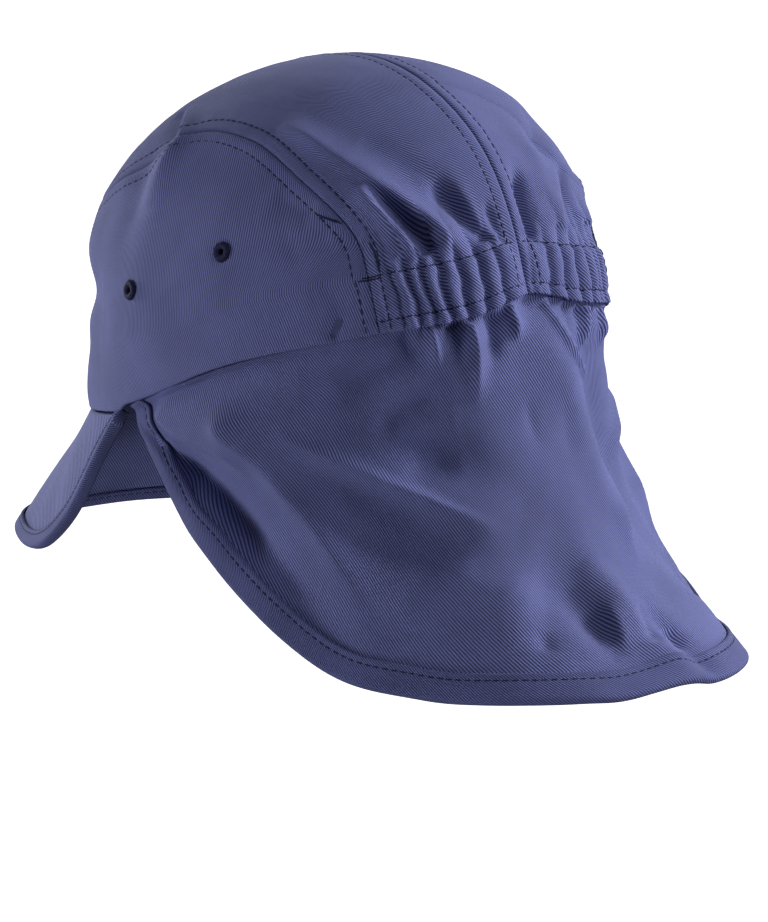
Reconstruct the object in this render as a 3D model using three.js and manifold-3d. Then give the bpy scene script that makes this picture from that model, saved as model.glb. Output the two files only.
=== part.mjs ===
// A legionnaire cap of cotton twill: a front panel that runs round to both sides, two rear panels
// gathered on elastic at the back, a curved peak, and a long neck flap with a bound edge.
//
// Millimetres, +Z up. The peak points to -Y and the wearer's left is +X. The origin is the middle
// of the rim, where the head sits. Angles run round the rim from the front (0) over the left (90)
// to the back (180). A place on the crown is (u, v) on a flat disk: its middle is the top of the
// crown, its edge is the rim, and v points to the back.

import * as THREE from 'three';
import { mergeVertices } from 'three/addons/utils/BufferGeometryUtils.js';
import Module from 'manifold-3d';

// Crown
const RIM_HALF_WIDTH = 81;
const RIM_FRONT_REACH = 96;
const RIM_BACK_REACH = 100;
const RIM_FRONT_RISE = 13;
const RIM_RISE_POWER = 1.5;
const CROWN_HEIGHT = 106;
const RIM_FULLNESS = 0.05;
const CROWN_FOLD_DEPTH = 4;
const FOLD_END = 0.35;

// Cloth, and the clearances that keep the pieces apart
const CLOTH = 1.2;
const GAP = 0.3;
const SEAM_GAP = 0.4;

// Seams of the crown: the side seam leaves the rim at this angle
const SIDE_SEAM_ANGLE = 143.2;
const CASING_HEIGHT = 18;
const GATHER_DEPTH = 1.6;
const GATHER_FADE = 0.16;

// Peak
const PEAK_CORNER_ANGLE = 78;
const PEAK_AHEAD = 145;
const PEAK_DROP = 35;
const PEAK_CAMBER = 3;
const PEAK_THICKNESS = 2;
const PEAK_BINDING_WIDTH = 6.5;
const PEAK_CORNER_SINK = 4;
const PEAK_END = 0.95;

// Neck flap
const FLAP_LENGTH = 134;
const FLAP_FLARE = 31;
const FLAP_FLARE_POWER = 3;
const FLAP_HUG = 8;
const FLAP_HUG_END = 0.9;
const FLAP_HUG_POWER = 1.5;
const FLAP_SWING = 6;
const FLAP_SWING_POWER = 1.5;
const FLAP_FOLD_DEPTH = 8;
const FLAP_GATHER_LENGTH = 26;
const FLAP_TUCK = 8;
const FLAP_BINDING_WIDTH = 9.5;
const BINDING_CLOTH = 1;
const BINDING_SHOULDER = 0.9;

// Eyelets
const EYELET_RADIUS = 3.6;
const EYELET_HOLE_RADIUS = 1.2;
const EYELET_NECK_RADIUS = 2;
const EYELET_RAISE = 0.7;

// Crown sections from the rim (rho 1) to the top (rho 0): height as a share of CROWN_HEIGHT, and
// width, front and back reach as shares of the rim's.
const SECTIONS = [
  { rho: 1.00, up: 0.000, side: 1.000, front: 1.000, back: 1.000 },
  { rho: 0.85, up: 0.250, side: 0.990, front: 0.945, back: 0.995 },
  { rho: 0.70, up: 0.470, side: 0.940, front: 0.880, back: 0.940 },
  { rho: 0.55, up: 0.660, side: 0.830, front: 0.785, back: 0.820 },
  { rho: 0.40, up: 0.815, side: 0.660, front: 0.635, back: 0.655 },
  { rho: 0.25, up: 0.930, side: 0.430, front: 0.420, back: 0.430 },
  { rho: 0.12, up: 0.984, side: 0.205, front: 0.200, back: 0.205 },
  { rho: 0.00, up: 1.000, side: 0.000, front: 0.000, back: 0.000 },
];

// The rim's height round the head, as shares of RIM_FRONT_RISE.
const RIM_LINE = [
  { angle: 0, rise: 1.00 },
  { angle: 30, rise: 0.92 },
  { angle: 55, rise: 0.38 },
  { angle: 78, rise: 0.00 },
  { angle: 110, rise: 0.11 },
  { angle: 142, rise: -0.08 },
  { angle: 165, rise: -0.08 },
  { angle: 180, rise: 0.23 },
];

// The seam between the front panel and a rear panel: past the side seam it runs forward over the
// temple to the middle of the front. Angle, and rho on the disk.
const PANEL_SEAM = [
  { angle: SIDE_SEAM_ANGLE, rho: 0.890 },
  { angle: 143.0, rho: 0.840 },
  { angle: 141.0, rho: 0.785 },
  { angle: 134.7, rho: 0.683 },
  { angle: 124.0, rho: 0.536 },
  { angle: 108.0, rho: 0.452 },
  { angle: 90.0, rho: 0.470 },
  { angle: 72.0, rho: 0.497 },
  { angle: 50.0, rho: 0.530 },
  { angle: 25.0, rho: 0.585 },
  { angle: 0.0, rho: 0.610 },
];

// Dents and folds of the crown, from (u0, v0) to (u1, v1) on the disk; width is a share of the
// disk's radius, and depth a share of CROWN_FOLD_DEPTH, outward when positive.
const CROWN_FOLDS = [
  { u0: 0.400, v0: 0.340, u1: 0.415, v1: 0.590, width: 0.060, depth: 0.35 },
  { u0: 0.410, v0: 0.600, u1: 0.250, v1: 0.830, width: 0.035, depth: 0.55 },
  { u0: 0.412, v0: 0.594, u1: 0.370, v1: 0.800, width: 0.022, depth: 0.45 },
  { u0: 0.395, v0: 0.610, u1: 0.325, v1: 0.800, width: 0.024, depth: -0.50 },
  { u0: 0.300, v0: 0.520, u1: 0.225, v1: 0.760, width: 0.050, depth: -0.40 },
  { u0: 0.205, v0: 0.700, u1: 0.144, v1: 0.845, width: 0.030, depth: -0.50 },
  { u0: -0.093, v0: 0.740, u1: -0.072, v1: 0.900, width: 0.026, depth: -0.55 },
  { u0: -0.300, v0: 0.600, u1: -0.345, v1: 0.800, width: 0.040, depth: -0.50 },
  { u0: -0.200, v0: 0.640, u1: -0.190, v1: 0.830, width: 0.045, depth: 0.35 },
  { u0: 0.470, v0: 0.060, u1: 0.620, v1: 0.050, width: 0.050, depth: 0.70 },
  { u0: 0.440, v0: -0.040, u1: 0.640, v1: -0.050, width: 0.060, depth: -0.45 },
  { u0: 0.400, v0: -0.690, u1: 0.750, v1: -0.270, width: 0.070, depth: -1.30 },
  { u0: 0.500, v0: -0.760, u1: 0.840, v1: -0.350, width: 0.055, depth: -0.50 },
  { u0: -0.340, v0: 0.380, u1: -0.260, v1: 0.560, width: 0.200, depth: 0.75 },
  { u0: 0.690, v0: 0.655, u1: 0.631, v1: 0.694, width: 0.040, depth: -0.20 },
  { u0: -0.620, v0: 0.100, u1: -0.520, v1: 0.060, width: 0.070, depth: 0.45 },
];

// Gathers of the elastic from the side seam (at 0) to the back seam (at 1), alike on both sides;
// width is a share of that way, depth a share of GATHER_DEPTH.
const GATHERS = [
  { at: 0.09, width: 0.035, depth: 0.55 },
  { at: 0.19, width: 0.035, depth: 0.90 },
  { at: 0.28, width: 0.032, depth: 0.80 },
  { at: 0.37, width: 0.036, depth: 1.00 },
  { at: 0.48, width: 0.042, depth: 1.00 },
  { at: 0.61, width: 0.046, depth: 0.90 },
  { at: 0.74, width: 0.046, depth: 0.85 },
  { at: 0.87, width: 0.044, depth: 0.60 },
];

// The peak's outer edge from the middle (at 0) to its corner (at 1): across is a share of the
// corner's half width, ahead of PEAK_AHEAD and drop of PEAK_DROP.
const PEAK_EDGE = [
  { at: 0.00, across: 0.000, ahead: 1.000, drop: 0.50 },
  { at: 0.15, across: 0.300, ahead: 0.967, drop: 0.54 },
  { at: 0.29, across: 0.570, ahead: 0.872, drop: 0.68 },
  { at: 0.43, across: 0.735, ahead: 0.728, drop: 0.93 },
  { at: 0.57, across: 0.840, ahead: 0.568, drop: 1.02 },
  { at: 0.71, across: 0.915, ahead: 0.377, drop: 0.85 },
  { at: 0.86, across: 0.965, ahead: 0.178, drop: 0.42 },
  { at: 1.00, across: 1.000, ahead: 0.000, drop: 0.02 },
];

// The flap round the head from the back (0): how far its hem hangs below the rim, stands out,
// hugs the neck higher up, and swings to the back, as shares of the flap's sizes.
const FLAP_HEM = [
  { from_back: 0, length: 1.000, flare: 1.00, hug: 0.50, swing: 0.0 },
  { from_back: 22, length: 0.955, flare: 0.94, hug: 1.00, swing: 0.8 },
  { from_back: 45, length: 0.880, flare: 0.45, hug: 1.00, swing: 0.5 },
  { from_back: 65, length: 0.765, flare: 0.35, hug: 0.75, swing: 1.0 },
  { from_back: 85, length: 0.442, flare: 0.16, hug: 0.12, swing: 0.5 },
  { from_back: 97, length: 0.198, flare: 0.00, hug: 0.00, swing: 0.3 },
  { from_back: 102, length: 0.009, flare: 0.00, hug: 0.00, swing: 0.0 },
];

// Each thread line of the flap runs from its top angle at the rim to a hem angle further forward.
const FLAP_FAN = [
  { top: 84.3, hem: 78.0 },
  { top: 95.0, hem: 83.5 },
  { top: 110.0, hem: 96.5 },
  { top: 125.0, hem: 115.0 },
  { top: SIDE_SEAM_ANGLE, hem: 138.5 },
  { top: 180.0, hem: 180.0 },
];

// Folds of the flap, from (angle0, down0) to (angle1, down1): down is a share of the way to the
// hem, width a share of FLAP_LENGTH, and depth of FLAP_FOLD_DEPTH.
const FLAP_FOLDS = [
  { angle0: 100, down0: 0.12, angle1: 130, down1: 0.86, width: 0.110, depth: 0.60 },
  { angle0: 86, down0: 0.40, angle1: 114, down1: 0.80, width: 0.075, depth: -0.50 },
  { angle0: 112, down0: 0.20, angle1: 163, down1: 0.56, width: 0.080, depth: 0.40 },
  { angle0: 122, down0: 0.16, angle1: 156, down1: 0.20, width: 0.060, depth: -0.38 },
  { angle0: 131, down0: 0.46, angle1: 160, down1: 0.70, width: 0.120, depth: -0.35 },
  { angle0: 183, down0: 0.02, angle1: 196, down1: 0.60, width: 0.085, depth: 0.55 },
  { angle0: 197, down0: 0.05, angle1: 216, down1: 0.45, width: 0.085, depth: -0.55 },
  { angle0: 168, down0: 0.70, angle1: 173, down1: 0.90, width: 0.050, depth: -0.40 },
  { angle0: 176, down0: 0.66, angle1: 184, down1: 0.95, width: 0.045, depth: 0.30 },
  { angle0: 186, down0: 0.80, angle1: 190, down1: 0.98, width: 0.035, depth: -0.30 },
  { angle0: 206, down0: 0.35, angle1: 222, down1: 0.80, width: 0.130, depth: -0.50 },
  { angle0: 256, down0: 0.15, angle1: 240, down1: 0.85, width: 0.110, depth: 0.40 },
  { angle0: 268, down0: 0.35, angle1: 255, down1: 0.85, width: 0.075, depth: -0.35 },
];

// Eyelets of one side, on the disk.
const EYELETS = [
  { name: 'rear', u: 0.722, v: 0.306 },
  { name: 'front', u: 0.789, v: -0.052 },
];

// How finely the solids are faceted
const FRONT_COLUMNS = 22;
const FRONT_ROWS = 9;
const REAR_LONG_STEPS = 14;
const FLAP_ROWS = 11;
const PEAK_COLUMNS = 14;
const PEAK_ROWS = 4;
const EYELET_SIDES = 14;

const SMALL = 1e-3;
const radians = THREE.MathUtils.degToRad;
const mix = THREE.MathUtils.lerp;

// Spline through rows: each slope is the one of a parabola through the row and its neighbours.
function spline(xs, ys) {
  const last = xs.length - 1;
  const slopes = xs.map((x, i) => {
    if (i === 0) return (ys[1] - ys[0]) / (xs[1] - xs[0]);
    if (i === last) return (ys[last] - ys[last - 1]) / (xs[last] - xs[last - 1]);
    const before = x - xs[i - 1];
    const after = xs[i + 1] - x;
    const rise = before * before * ys[i + 1] - after * after * ys[i - 1];
    return (rise + (after * after - before * before) * ys[i]) / (before * after * (before + after));
  });
  return (x) => {
    let i = 0;
    while (i < last - 1 && x >= xs[i + 1]) i += 1;
    const step = xs[i + 1] - xs[i];
    const s = (x - xs[i]) / step;
    const s2 = s * s;
    const s3 = s2 * s;
    return (2 * s3 - 3 * s2 + 1) * ys[i] + (s3 - 2 * s2 + s) * step * slopes[i]
      + (3 * s2 - 2 * s3) * ys[i + 1] + (s3 - s2) * step * slopes[i + 1];
  };
}

// One column of a table as a spline. With parity 1 or -1 the rows also stand on the other side of
// x = 0, with equal or opposite values, so that the curve is smooth there.
function column(table, x, y, parity = 0) {
  const rows = table.map((row) => [row[x], row[y]]).sort((a, b) => a[0] - b[0]);
  const other = rows.filter((row) => row[0] > 0).map((row) => [-row[0], parity * row[1]]).reverse();
  const all = parity === 0 ? rows : other.concat(rows);
  return spline(all.map((row) => row[0]), all.map((row) => row[1]));
}

const sectionUp = column(SECTIONS, 'rho', 'up', 1);
const sectionSide = column(SECTIONS, 'rho', 'side', -1);
const sectionFront = column(SECTIONS, 'rho', 'front', -1);
const sectionBack = column(SECTIONS, 'rho', 'back', -1);

// Height of the rim at an angle; the rows past the back mirror those before it.
const rimRise = (() => {
  const back = RIM_LINE.slice(1, -1).reverse().map((row) => ({ angle: 360 - row.angle, rise: row.rise }));
  return column(RIM_LINE.concat(back), 'angle', 'rise', 1);
})();

function rimHeight(angle) {
  return RIM_FRONT_RISE * rimRise(Math.abs(THREE.MathUtils.euclideanModulo(angle + 180, 360) - 180));
}

const diskOf = (angle, rho) => [rho * Math.sin(radians(angle)), -rho * Math.cos(radians(angle))];
const angleOf = (u, v) => THREE.MathUtils.radToDeg(Math.atan2(u, -v));

// The crown without its folds.
function smoothCrown(u, v) {
  const rho = Math.hypot(u, v);
  const turn = Math.atan2(u, -v);
  const s = Math.sin(turn);
  const c = Math.cos(turn);
  const up = sectionUp(rho);
  const reach = c > 0 ? RIM_FRONT_REACH * sectionFront(rho) : RIM_BACK_REACH * sectionBack(rho);
  return new THREE.Vector3(
    RIM_HALF_WIDTH * sectionSide(rho) * s * (1 + RIM_FULLNESS * c * c),
    -reach * c * (1 + RIM_FULLNESS * s * s),
    CROWN_HEIGHT * up + rimHeight(angleOf(u, v)) * Math.max(0, 1 - up) ** RIM_RISE_POWER,
  );
}

// Bell curve of the distance from a fold's line, faded past its ends.
function foldShare(x, y, x0, y0, x1, y1, width) {
  const dx = x1 - x0;
  const dy = y1 - y0;
  const along = THREE.MathUtils.clamp(((x - x0) * dx + (y - y0) * dy) / (dx * dx + dy * dy), 0, 1);
  const away = Math.hypot(x - x0 - along * dx, y - y0 - along * dy) / width;
  const fullness = Math.sqrt(Math.abs(Math.sin(Math.PI * along)));
  return Math.exp(-away * away) * mix(FOLD_END, 1, fullness);
}

// Ridges of the gathers at an angle, 0 outside the elastic.
function gatherShare(angle) {
  const at = (180 - Math.abs(180 - THREE.MathUtils.euclideanModulo(angle, 360)) - SIDE_SEAM_ANGLE)
    / (180 - SIDE_SEAM_ANGLE);
  return GATHERS.reduce((sum, row) => sum + row.depth * Math.exp(-(((at - row.at) / row.width) ** 2)), 0);
}

// The casing's share of the disk's radius, from its height.
const CASING_RHO = 1 - ((1 - SECTIONS[1].rho) * CASING_HEIGHT) / (SECTIONS[1].up * CROWN_HEIGHT);

function crownRelief(u, v) {
  const rho = Math.hypot(u, v);
  const folds = CROWN_FOLDS.reduce(
    (sum, row) => sum + row.depth * foldShare(u, v, row.u0, row.v0, row.u1, row.v1, row.width), 0);
  const fade = THREE.MathUtils.smoothstep(rho, CASING_RHO - GATHER_FADE, CASING_RHO);
  return CROWN_FOLD_DEPTH * folds + GATHER_DEPTH * fade * gatherShare(angleOf(u, v));
}

// Outward direction of a surface at (a, b), from its slopes.
function normalOf(surface, a, b, step, outwardFrom) {
  const da = surface(a + step, b).sub(surface(a - step, b));
  const db = surface(a, b + step).sub(surface(a, b - step));
  const normal = da.cross(db).normalize();
  const out = surface(a, b).sub(outwardFrom);
  return normal.dot(out) < 0 ? normal.negate() : normal;
}

const CROWN_MIDDLE = new THREE.Vector3(0, 0, 0);

// Crown surface with its folds, moved in by a depth.
function crownPoint(u, v, depth = 0) {
  const normal = normalOf(smoothCrown, u, v, SMALL, CROWN_MIDDLE);
  return smoothCrown(u, v).addScaledVector(normal, crownRelief(u, v) - depth);
}

// Point of the seam between the panels, from the casing (0) to the middle of the front (1).
const seamStation = PANEL_SEAM.map((row, i) => ({ at: i / (PANEL_SEAM.length - 1), ...row }));
const seamAngle = column(seamStation, 'at', 'angle');
const seamRho = column(seamStation, 'at', 'rho');
const seamPoint = (at) => diskOf(seamAngle(at), seamRho(at));

// The seam moved by half its gap: side 1 to the front panel, -1 to the rear panel.
function seamEdge(at, side) {
  const [u, v] = seamPoint(at);
  const before = seamPoint(Math.max(0, at - SMALL));
  const after = seamPoint(Math.min(1, at + SMALL));
  const along = new THREE.Vector2(after[0] - before[0], after[1] - before[1]).normalize();
  const across = new THREE.Vector2(-along.y, along.x);
  const scale = smoothCrown(u + SMALL * across.x, v + SMALL * across.y)
    .distanceTo(smoothCrown(u, v)) / SMALL;
  const shift = (side * SEAM_GAP) / 2 / scale;
  return at >= 1 ? [0, v - side * SEAM_GAP / 2 / scale] : [u + across.x * shift, v + across.y * shift];
}

// Where the notch of the side seam lies on the seam, and where a rear panel's long side ends.
// Both panels have corners at the same places of the seam.
const NOTCH_AT = seamStation[2].at;
const NOTCH_STEPS = FRONT_ROWS - 2;
const FRONT_STEP = (1 - NOTCH_AT) / FRONT_COLUMNS;
const REAR_ROWS = 2 + NOTCH_STEPS + REAR_LONG_STEPS;
const REAR_CORNER_AT = NOTCH_AT + REAR_LONG_STEPS * FRONT_STEP;

function seamStop(step) {
  if (step <= NOTCH_STEPS) return (NOTCH_AT * step) / NOTCH_STEPS;
  return NOTCH_AT + (step - NOTCH_STEPS) * FRONT_STEP;
}

// Patch between four edges that share their corners: the edges run along a, and along b.
function patch(bottom, top, left, right, a, b) {
  const corners = [bottom(0), bottom(1), top(0), top(1)];
  return [0, 1].map((k) => mix(bottom(a)[k], top(a)[k], b) + mix(left(b)[k], right(b)[k], a)
    - mix(mix(corners[0][k], corners[1][k], a), mix(corners[2][k], corners[3][k], a), b));
}

// The band of the panels beside the rim: its lines stand upright on the rim.
const TUCK_RHO = 1 - (1 - CASING_RHO) * (FLAP_TUCK / CASING_HEIGHT);
const BAND_RHOS = [1, TUCK_RHO, CASING_RHO];

// Half the gap of a seam that stands on the rim, in degrees.
const HALF_SEAM = THREE.MathUtils.radToDeg(SEAM_GAP / 2 / RIM_BACK_REACH);

// Place on the front panel, whose left half runs from the middle (a 0) to the side seam (a 1).
function frontPlace(a, row) {
  const rear = SIDE_SEAM_ANGLE - HALF_SEAM;
  if (row < BAND_RHOS.length) return diskOf(a * rear, BAND_RHOS[row]);
  const b = (row - BAND_RHOS.length + 1) / (FRONT_ROWS - BAND_RHOS.length + 1);
  const polar = (point) => [angleOf(point[0], point[1]), Math.hypot(point[0], point[1])];
  const bottom = (x) => [x * rear, CASING_RHO];
  const top = (x) => polar(seamEdge(1 - x * (1 - NOTCH_AT), 1));
  const left = (y) => [0, mix(CASING_RHO, top(0)[1], y)];
  const right = (y) => (y === 0 ? bottom(1) : polar(seamEdge(y * NOTCH_AT, 1)));
  return diskOf(...patch(bottom, top, left, right, a, b));
}

// Place on the left rear panel: from the back seam (q 0) to the side seam (q 1).
function rearPlace(q, row) {
  const rim = (x) => mix(180 - HALF_SEAM, SIDE_SEAM_ANGLE + HALF_SEAM, x);
  if (row < BAND_RHOS.length) return diskOf(rim(q), BAND_RHOS[row]);
  const b = seamStop(row - BAND_RHOS.length + 1) / REAR_CORNER_AT;
  const bottom = (x) => diskOf(rim(x), CASING_RHO);
  const inner = radians(HALF_SEAM);
  const front = seamEdge(1, -1);
  const left = (y) => [inner * CASING_RHO, mix(bottom(0)[1], front[1], y)];
  const top = (x) => (x === 0 ? left(1) : seamEdge(mix(1, REAR_CORNER_AT, x), -1));
  const right = (y) => (y === 0 ? bottom(1) : seamEdge(y * REAR_CORNER_AT, -1));
  const place = patch(bottom, top, left, right, q, b);
  return [Math.max(place[0], inner * CASING_RHO), place[1]];
}

// Columns of a gathered edge: one on each ridge and one in each valley, from the back seam.
const REAR_COLUMNS = (() => {
  const ridges = GATHERS.map((row) => 1 - row.at).reverse();
  const stops = [0];
  ridges.forEach((ridge, i) => {
    stops.push(ridge);
    stops.push(i + 1 < ridges.length ? (ridge + ridges[i + 1]) / 2 : 1);
  });
  return stops;
})();

// Closed solid between two grids of points, each a list of rows. From the column `turned` on, the
// faces are split along their other diagonal.
function solidBetween(outer, inner, turned = Infinity) {
  const rows = outer.length;
  const columns = outer[0].length;
  const positions = [];
  outer.concat(inner).forEach((row) => row.forEach((point) => positions.push(point.x, point.y, point.z)));
  const faces = [];
  const out = (i, j) => i * columns + j;
  const back = (i, j) => rows * columns + i * columns + j;
  const quad = (a, b, c, d) => faces.push(a, b, c, a, c, d);
  for (let i = 0; i + 1 < rows; i += 1) {
    for (let j = 0; j + 1 < columns; j += 1) {
      const corners = [[i, j], [i + 1, j], [i + 1, j + 1], [i, j + 1]];
      if (j >= turned) corners.push(corners.shift());
      quad(...corners.map((corner) => out(...corner)));
      quad(...[0, 3, 2, 1].map((k) => back(...corners[k])));
    }
    quad(out(i, 0), back(i, 0), back(i + 1, 0), out(i + 1, 0));
    quad(out(i, columns - 1), out(i + 1, columns - 1), back(i + 1, columns - 1), back(i, columns - 1));
  }
  for (let j = 0; j + 1 < columns; j += 1) {
    quad(out(0, j), out(0, j + 1), back(0, j + 1), back(0, j));
    quad(out(rows - 1, j), back(rows - 1, j), back(rows - 1, j + 1), out(rows - 1, j + 1));
  }
  const geometry = new THREE.BufferGeometry();
  geometry.setAttribute('position', new THREE.Float32BufferAttribute(positions, 3));
  geometry.setIndex(faces);
  return facingOut(geometry);
}

// Turns every face round when the solid is inside out.
function facingOut(geometry) {
  const at = geometry.getAttribute('position');
  const index = geometry.getIndex().array;
  const corner = [0, 1, 2].map(() => new THREE.Vector3());
  let volume = 0;
  for (let i = 0; i < index.length; i += 3) {
    corner.forEach((point, k) => point.fromBufferAttribute(at, index[i + k]));
    volume += corner[0].dot(corner[1].clone().cross(corner[2]));
  }
  if (volume < 0) {
    for (let i = 0; i < index.length; i += 3) {
      [index[i + 1], index[i + 2]] = [index[i + 2], index[i + 1]];
    }
  }
  return geometry;
}

const grid = (rows, columns, point) => rows.map((row) => columns.map((col) => point(row, col)));
const steps = (count) => Array.from({ length: count + 1 }, (_, i) => i / count);
const whole = (count) => Array.from({ length: count + 1 }, (_, i) => i);

function frontPanelGeometry() {
  const halves = steps(FRONT_COLUMNS);
  const columns = halves.slice(1).reverse().map((a) => -a).concat(halves);
  const surface = (depth) => grid(whole(FRONT_ROWS), columns, (row, a) => {
    const [u, v] = frontPlace(Math.abs(a), row);
    return crownPoint(Math.sign(a) * u, v, depth);
  });
  return solidBetween(surface(0), surface(CLOTH));
}

function rearPanelGeometry(side) {
  const surface = (depth) => grid(whole(REAR_ROWS), REAR_COLUMNS, (row, q) => {
    const [u, v] = rearPlace(q, row);
    return crownPoint(side * u, v, depth);
  });
  return solidBetween(surface(0), surface(CLOTH));
}

const rimPoint = (angle) => smoothCrown(...diskOf(angle, 1));

// Level outward direction of the rim.
function rimOutward(angle) {
  const along = rimPoint(angle + SMALL).sub(rimPoint(angle - SMALL)).setZ(0).normalize();
  const out = new THREE.Vector3(along.y, -along.x, 0);
  return out.dot(rimPoint(angle).setZ(0)) < 0 ? out.negate() : out;
}

const peakAcross = column(PEAK_EDGE, 'at', 'across', -1);
const peakAhead = column(PEAK_EDGE, 'at', 'ahead', 1);
const peakFall = column(PEAK_EDGE, 'at', 'drop', 1);

// The peak's middle surface: side runs from the right corner (-1) to the left (1), out from the
// rim (0) to its edge (1).
function peakSurface(side, out) {
  const corner = rimPoint(PEAK_CORNER_ANGLE);
  const at = Math.abs(side);
  const edge = new THREE.Vector3(
    Math.sign(side) * peakAcross(at) * corner.x,
    corner.y - peakAhead(at) * PEAK_AHEAD,
    corner.z - peakFall(at) * PEAK_DROP,
  );
  const angle = side * PEAK_CORNER_ANGLE;
  const seat = rimPoint(angle).addScaledVector(rimOutward(angle), -CLOTH);
  seat.z -= PEAK_THICKNESS / 2 + SEAM_GAP + (BINDING_CLOTH + 2 * GAP) * at ** PEAK_CORNER_SINK;
  const point = seat.lerp(edge, out);
  point.z += PEAK_CAMBER * 4 * out * (1 - out) * Math.cos(radians(side * 90));
  return point;
}

const PEAK_BELOW = new THREE.Vector3(0, -RIM_FRONT_REACH, -10 * CROWN_HEIGHT);

function peakOffset(side, out, offset) {
  const inside = THREE.MathUtils.clamp(out, SMALL, 1 - SMALL);
  return peakSurface(side, out)
    .addScaledVector(normalOf(peakSurface, side, inside, SMALL / 2, PEAK_BELOW), offset);
}

// Share of the way out at which a width is left to the peak's edge.
function peakShare(side, width) {
  return 1 - width / peakSurface(side, 0).distanceTo(peakSurface(side, 1));
}

const peakColumns = steps(2 * PEAK_COLUMNS).map((x) => PEAK_END * Math.sin((x - 0.5) * Math.PI));

function peakGeometry() {
  const surface = (offset) => grid(steps(PEAK_ROWS), peakColumns, (row, side) => {
    const edge = peakShare(side, BINDING_CLOTH + GAP);
    const inner = peakShare(side, PEAK_BINDING_WIDTH);
    const out = row === 1 ? edge : Math.max(0, inner) * (row * PEAK_ROWS) / (PEAK_ROWS - 1);
    return peakOffset(side, out, offset);
  });
  return solidBetween(surface(PEAK_THICKNESS / 2), surface(-PEAK_THICKNESS / 2));
}

// Folded strip round an edge: its outside and its slot, both as five points across.
function bindingGeometry(stations, core, inner, offsetPoint) {
  const slot = core / 2 + GAP;
  const half = slot + BINDING_CLOTH;
  const shoulder = half * BINDING_SHOULDER;
  const outside = [[0, half], [1, shoulder], [2, 0], [1, -shoulder], [0, -half]];
  const inside = [[0, slot], [3, slot], [3, 0], [3, -slot], [0, -slot]];
  const surface = (profile) => stations.map((station) => {
    const shares = inner(station);
    return profile.map(([k, offset]) => offsetPoint(station, shares[k], offset));
  });
  return solidBetween(surface(outside), surface(inside), 2);
}

function peakBindingGeometry() {
  const widths = [PEAK_BINDING_WIDTH, PEAK_THICKNESS, 0, BINDING_CLOTH];
  const shares = (side) => widths.map((width) => peakShare(side, width));
  return bindingGeometry(peakColumns, PEAK_THICKNESS, shares, peakOffset);
}

const hemLength = column(FLAP_HEM, 'from_back', 'length', 1);
const hemFlare = column(FLAP_HEM, 'from_back', 'flare', 1);
const hemHug = column(FLAP_HEM, 'from_back', 'hug', 1);
const hemSwing = column(FLAP_HEM, 'from_back', 'swing', -1);

// The flap's outer face without its folds, at an angle and a share of the way down to the hem.
function smoothFlap(angle, down) {
  const back = Math.abs(180 - angle);
  const side = angle <= 180 ? 1 : -1;
  const hang = Math.max(0, down);
  const hug = Math.sin(Math.PI * Math.min(1, hang / FLAP_HUG_END)) ** FLAP_HUG_POWER;
  const out = FLAP_FLARE * hemFlare(back) * hang ** FLAP_FLARE_POWER - FLAP_HUG * hemHug(back) * hug
    - CLOTH - GAP;
  const outward = rimOutward(angle);
  const backward = new THREE.Vector3(-side * outward.y, side * outward.x, 0);
  return rimPoint(angle)
    .addScaledVector(outward, out)
    .addScaledVector(backward, FLAP_SWING * hemSwing(back) * hang ** FLAP_SWING_POWER)
    .setZ(rimPoint(angle).z - FLAP_LENGTH * hemLength(back) * down);
}

// One degree round the rim as a share of FLAP_LENGTH, so that folds are measured alike both ways.
const DEGREE = radians(1) * (RIM_HALF_WIDTH + RIM_BACK_REACH) / 2 / FLAP_LENGTH;

function flapRelief(angle, down) {
  const folds = FLAP_FOLDS.reduce((sum, row) => sum + row.depth * foldShare(
    angle * DEGREE, down, row.angle0 * DEGREE, row.down0, row.angle1 * DEGREE, row.down1, row.width), 0);
  const length = FLAP_LENGTH * hemLength(Math.abs(180 - angle));
  const gathers = gatherShare(angle) * Math.exp(-((down * length / FLAP_GATHER_LENGTH) ** 2));
  const start = THREE.MathUtils.smoothstep(down * length, 0, CASING_HEIGHT);
  return FLAP_FOLD_DEPTH * start * folds + GATHER_DEPTH * gathers;
}

// The flap's outer face moved in by a depth. Above the rim it lies inside the crown's band.
function flapPoint(angle, down, depth) {
  if (down < 0) return crownPoint(...diskOf(angle, TUCK_RHO), CLOTH + GAP + depth);
  if (down === 0) return crownPoint(...diskOf(angle, 1), CLOTH + GAP + depth);
  const inward = smoothFlap(angle, down).setX(0).setY(0);
  const normal = normalOf(smoothFlap, angle, Math.max(down, 2 * SMALL), SMALL, inward);
  return smoothFlap(angle, down).addScaledVector(normal, flapRelief(angle, down) - depth);
}

const fanAngle = column(FLAP_FAN, 'top', 'hem');

// Point on the flap's thread line from a top angle, at a share of the way to the hem.
function flapLine(top, share, depth) {
  const near = Math.min(top, 360 - top);
  const angle = mix(near, fanAngle(near), Math.max(0, share));
  const length = hemLength(180 - angle);
  const down = length > 0 ? (Math.max(0, share) * hemLength(180 - fanAngle(near))) / length : 0;
  return flapPoint(top > 180 ? 360 - angle : angle, share < 0 ? -1 : down, depth);
}

// Share along a thread line at which a width, square to the hem, is left to the edge.
function flapShare(top, width) {
  const hem = flapLine(top, 1, 0);
  const line = flapLine(top, 0, 0).sub(hem);
  const along = flapLine(top + 0.5, 1, 0).sub(flapLine(top - 0.5, 1, 0)).normalize();
  const square = line.clone().addScaledVector(along, -line.dot(along)).length();
  return Math.max(0, 1 - width / square);
}

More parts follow.
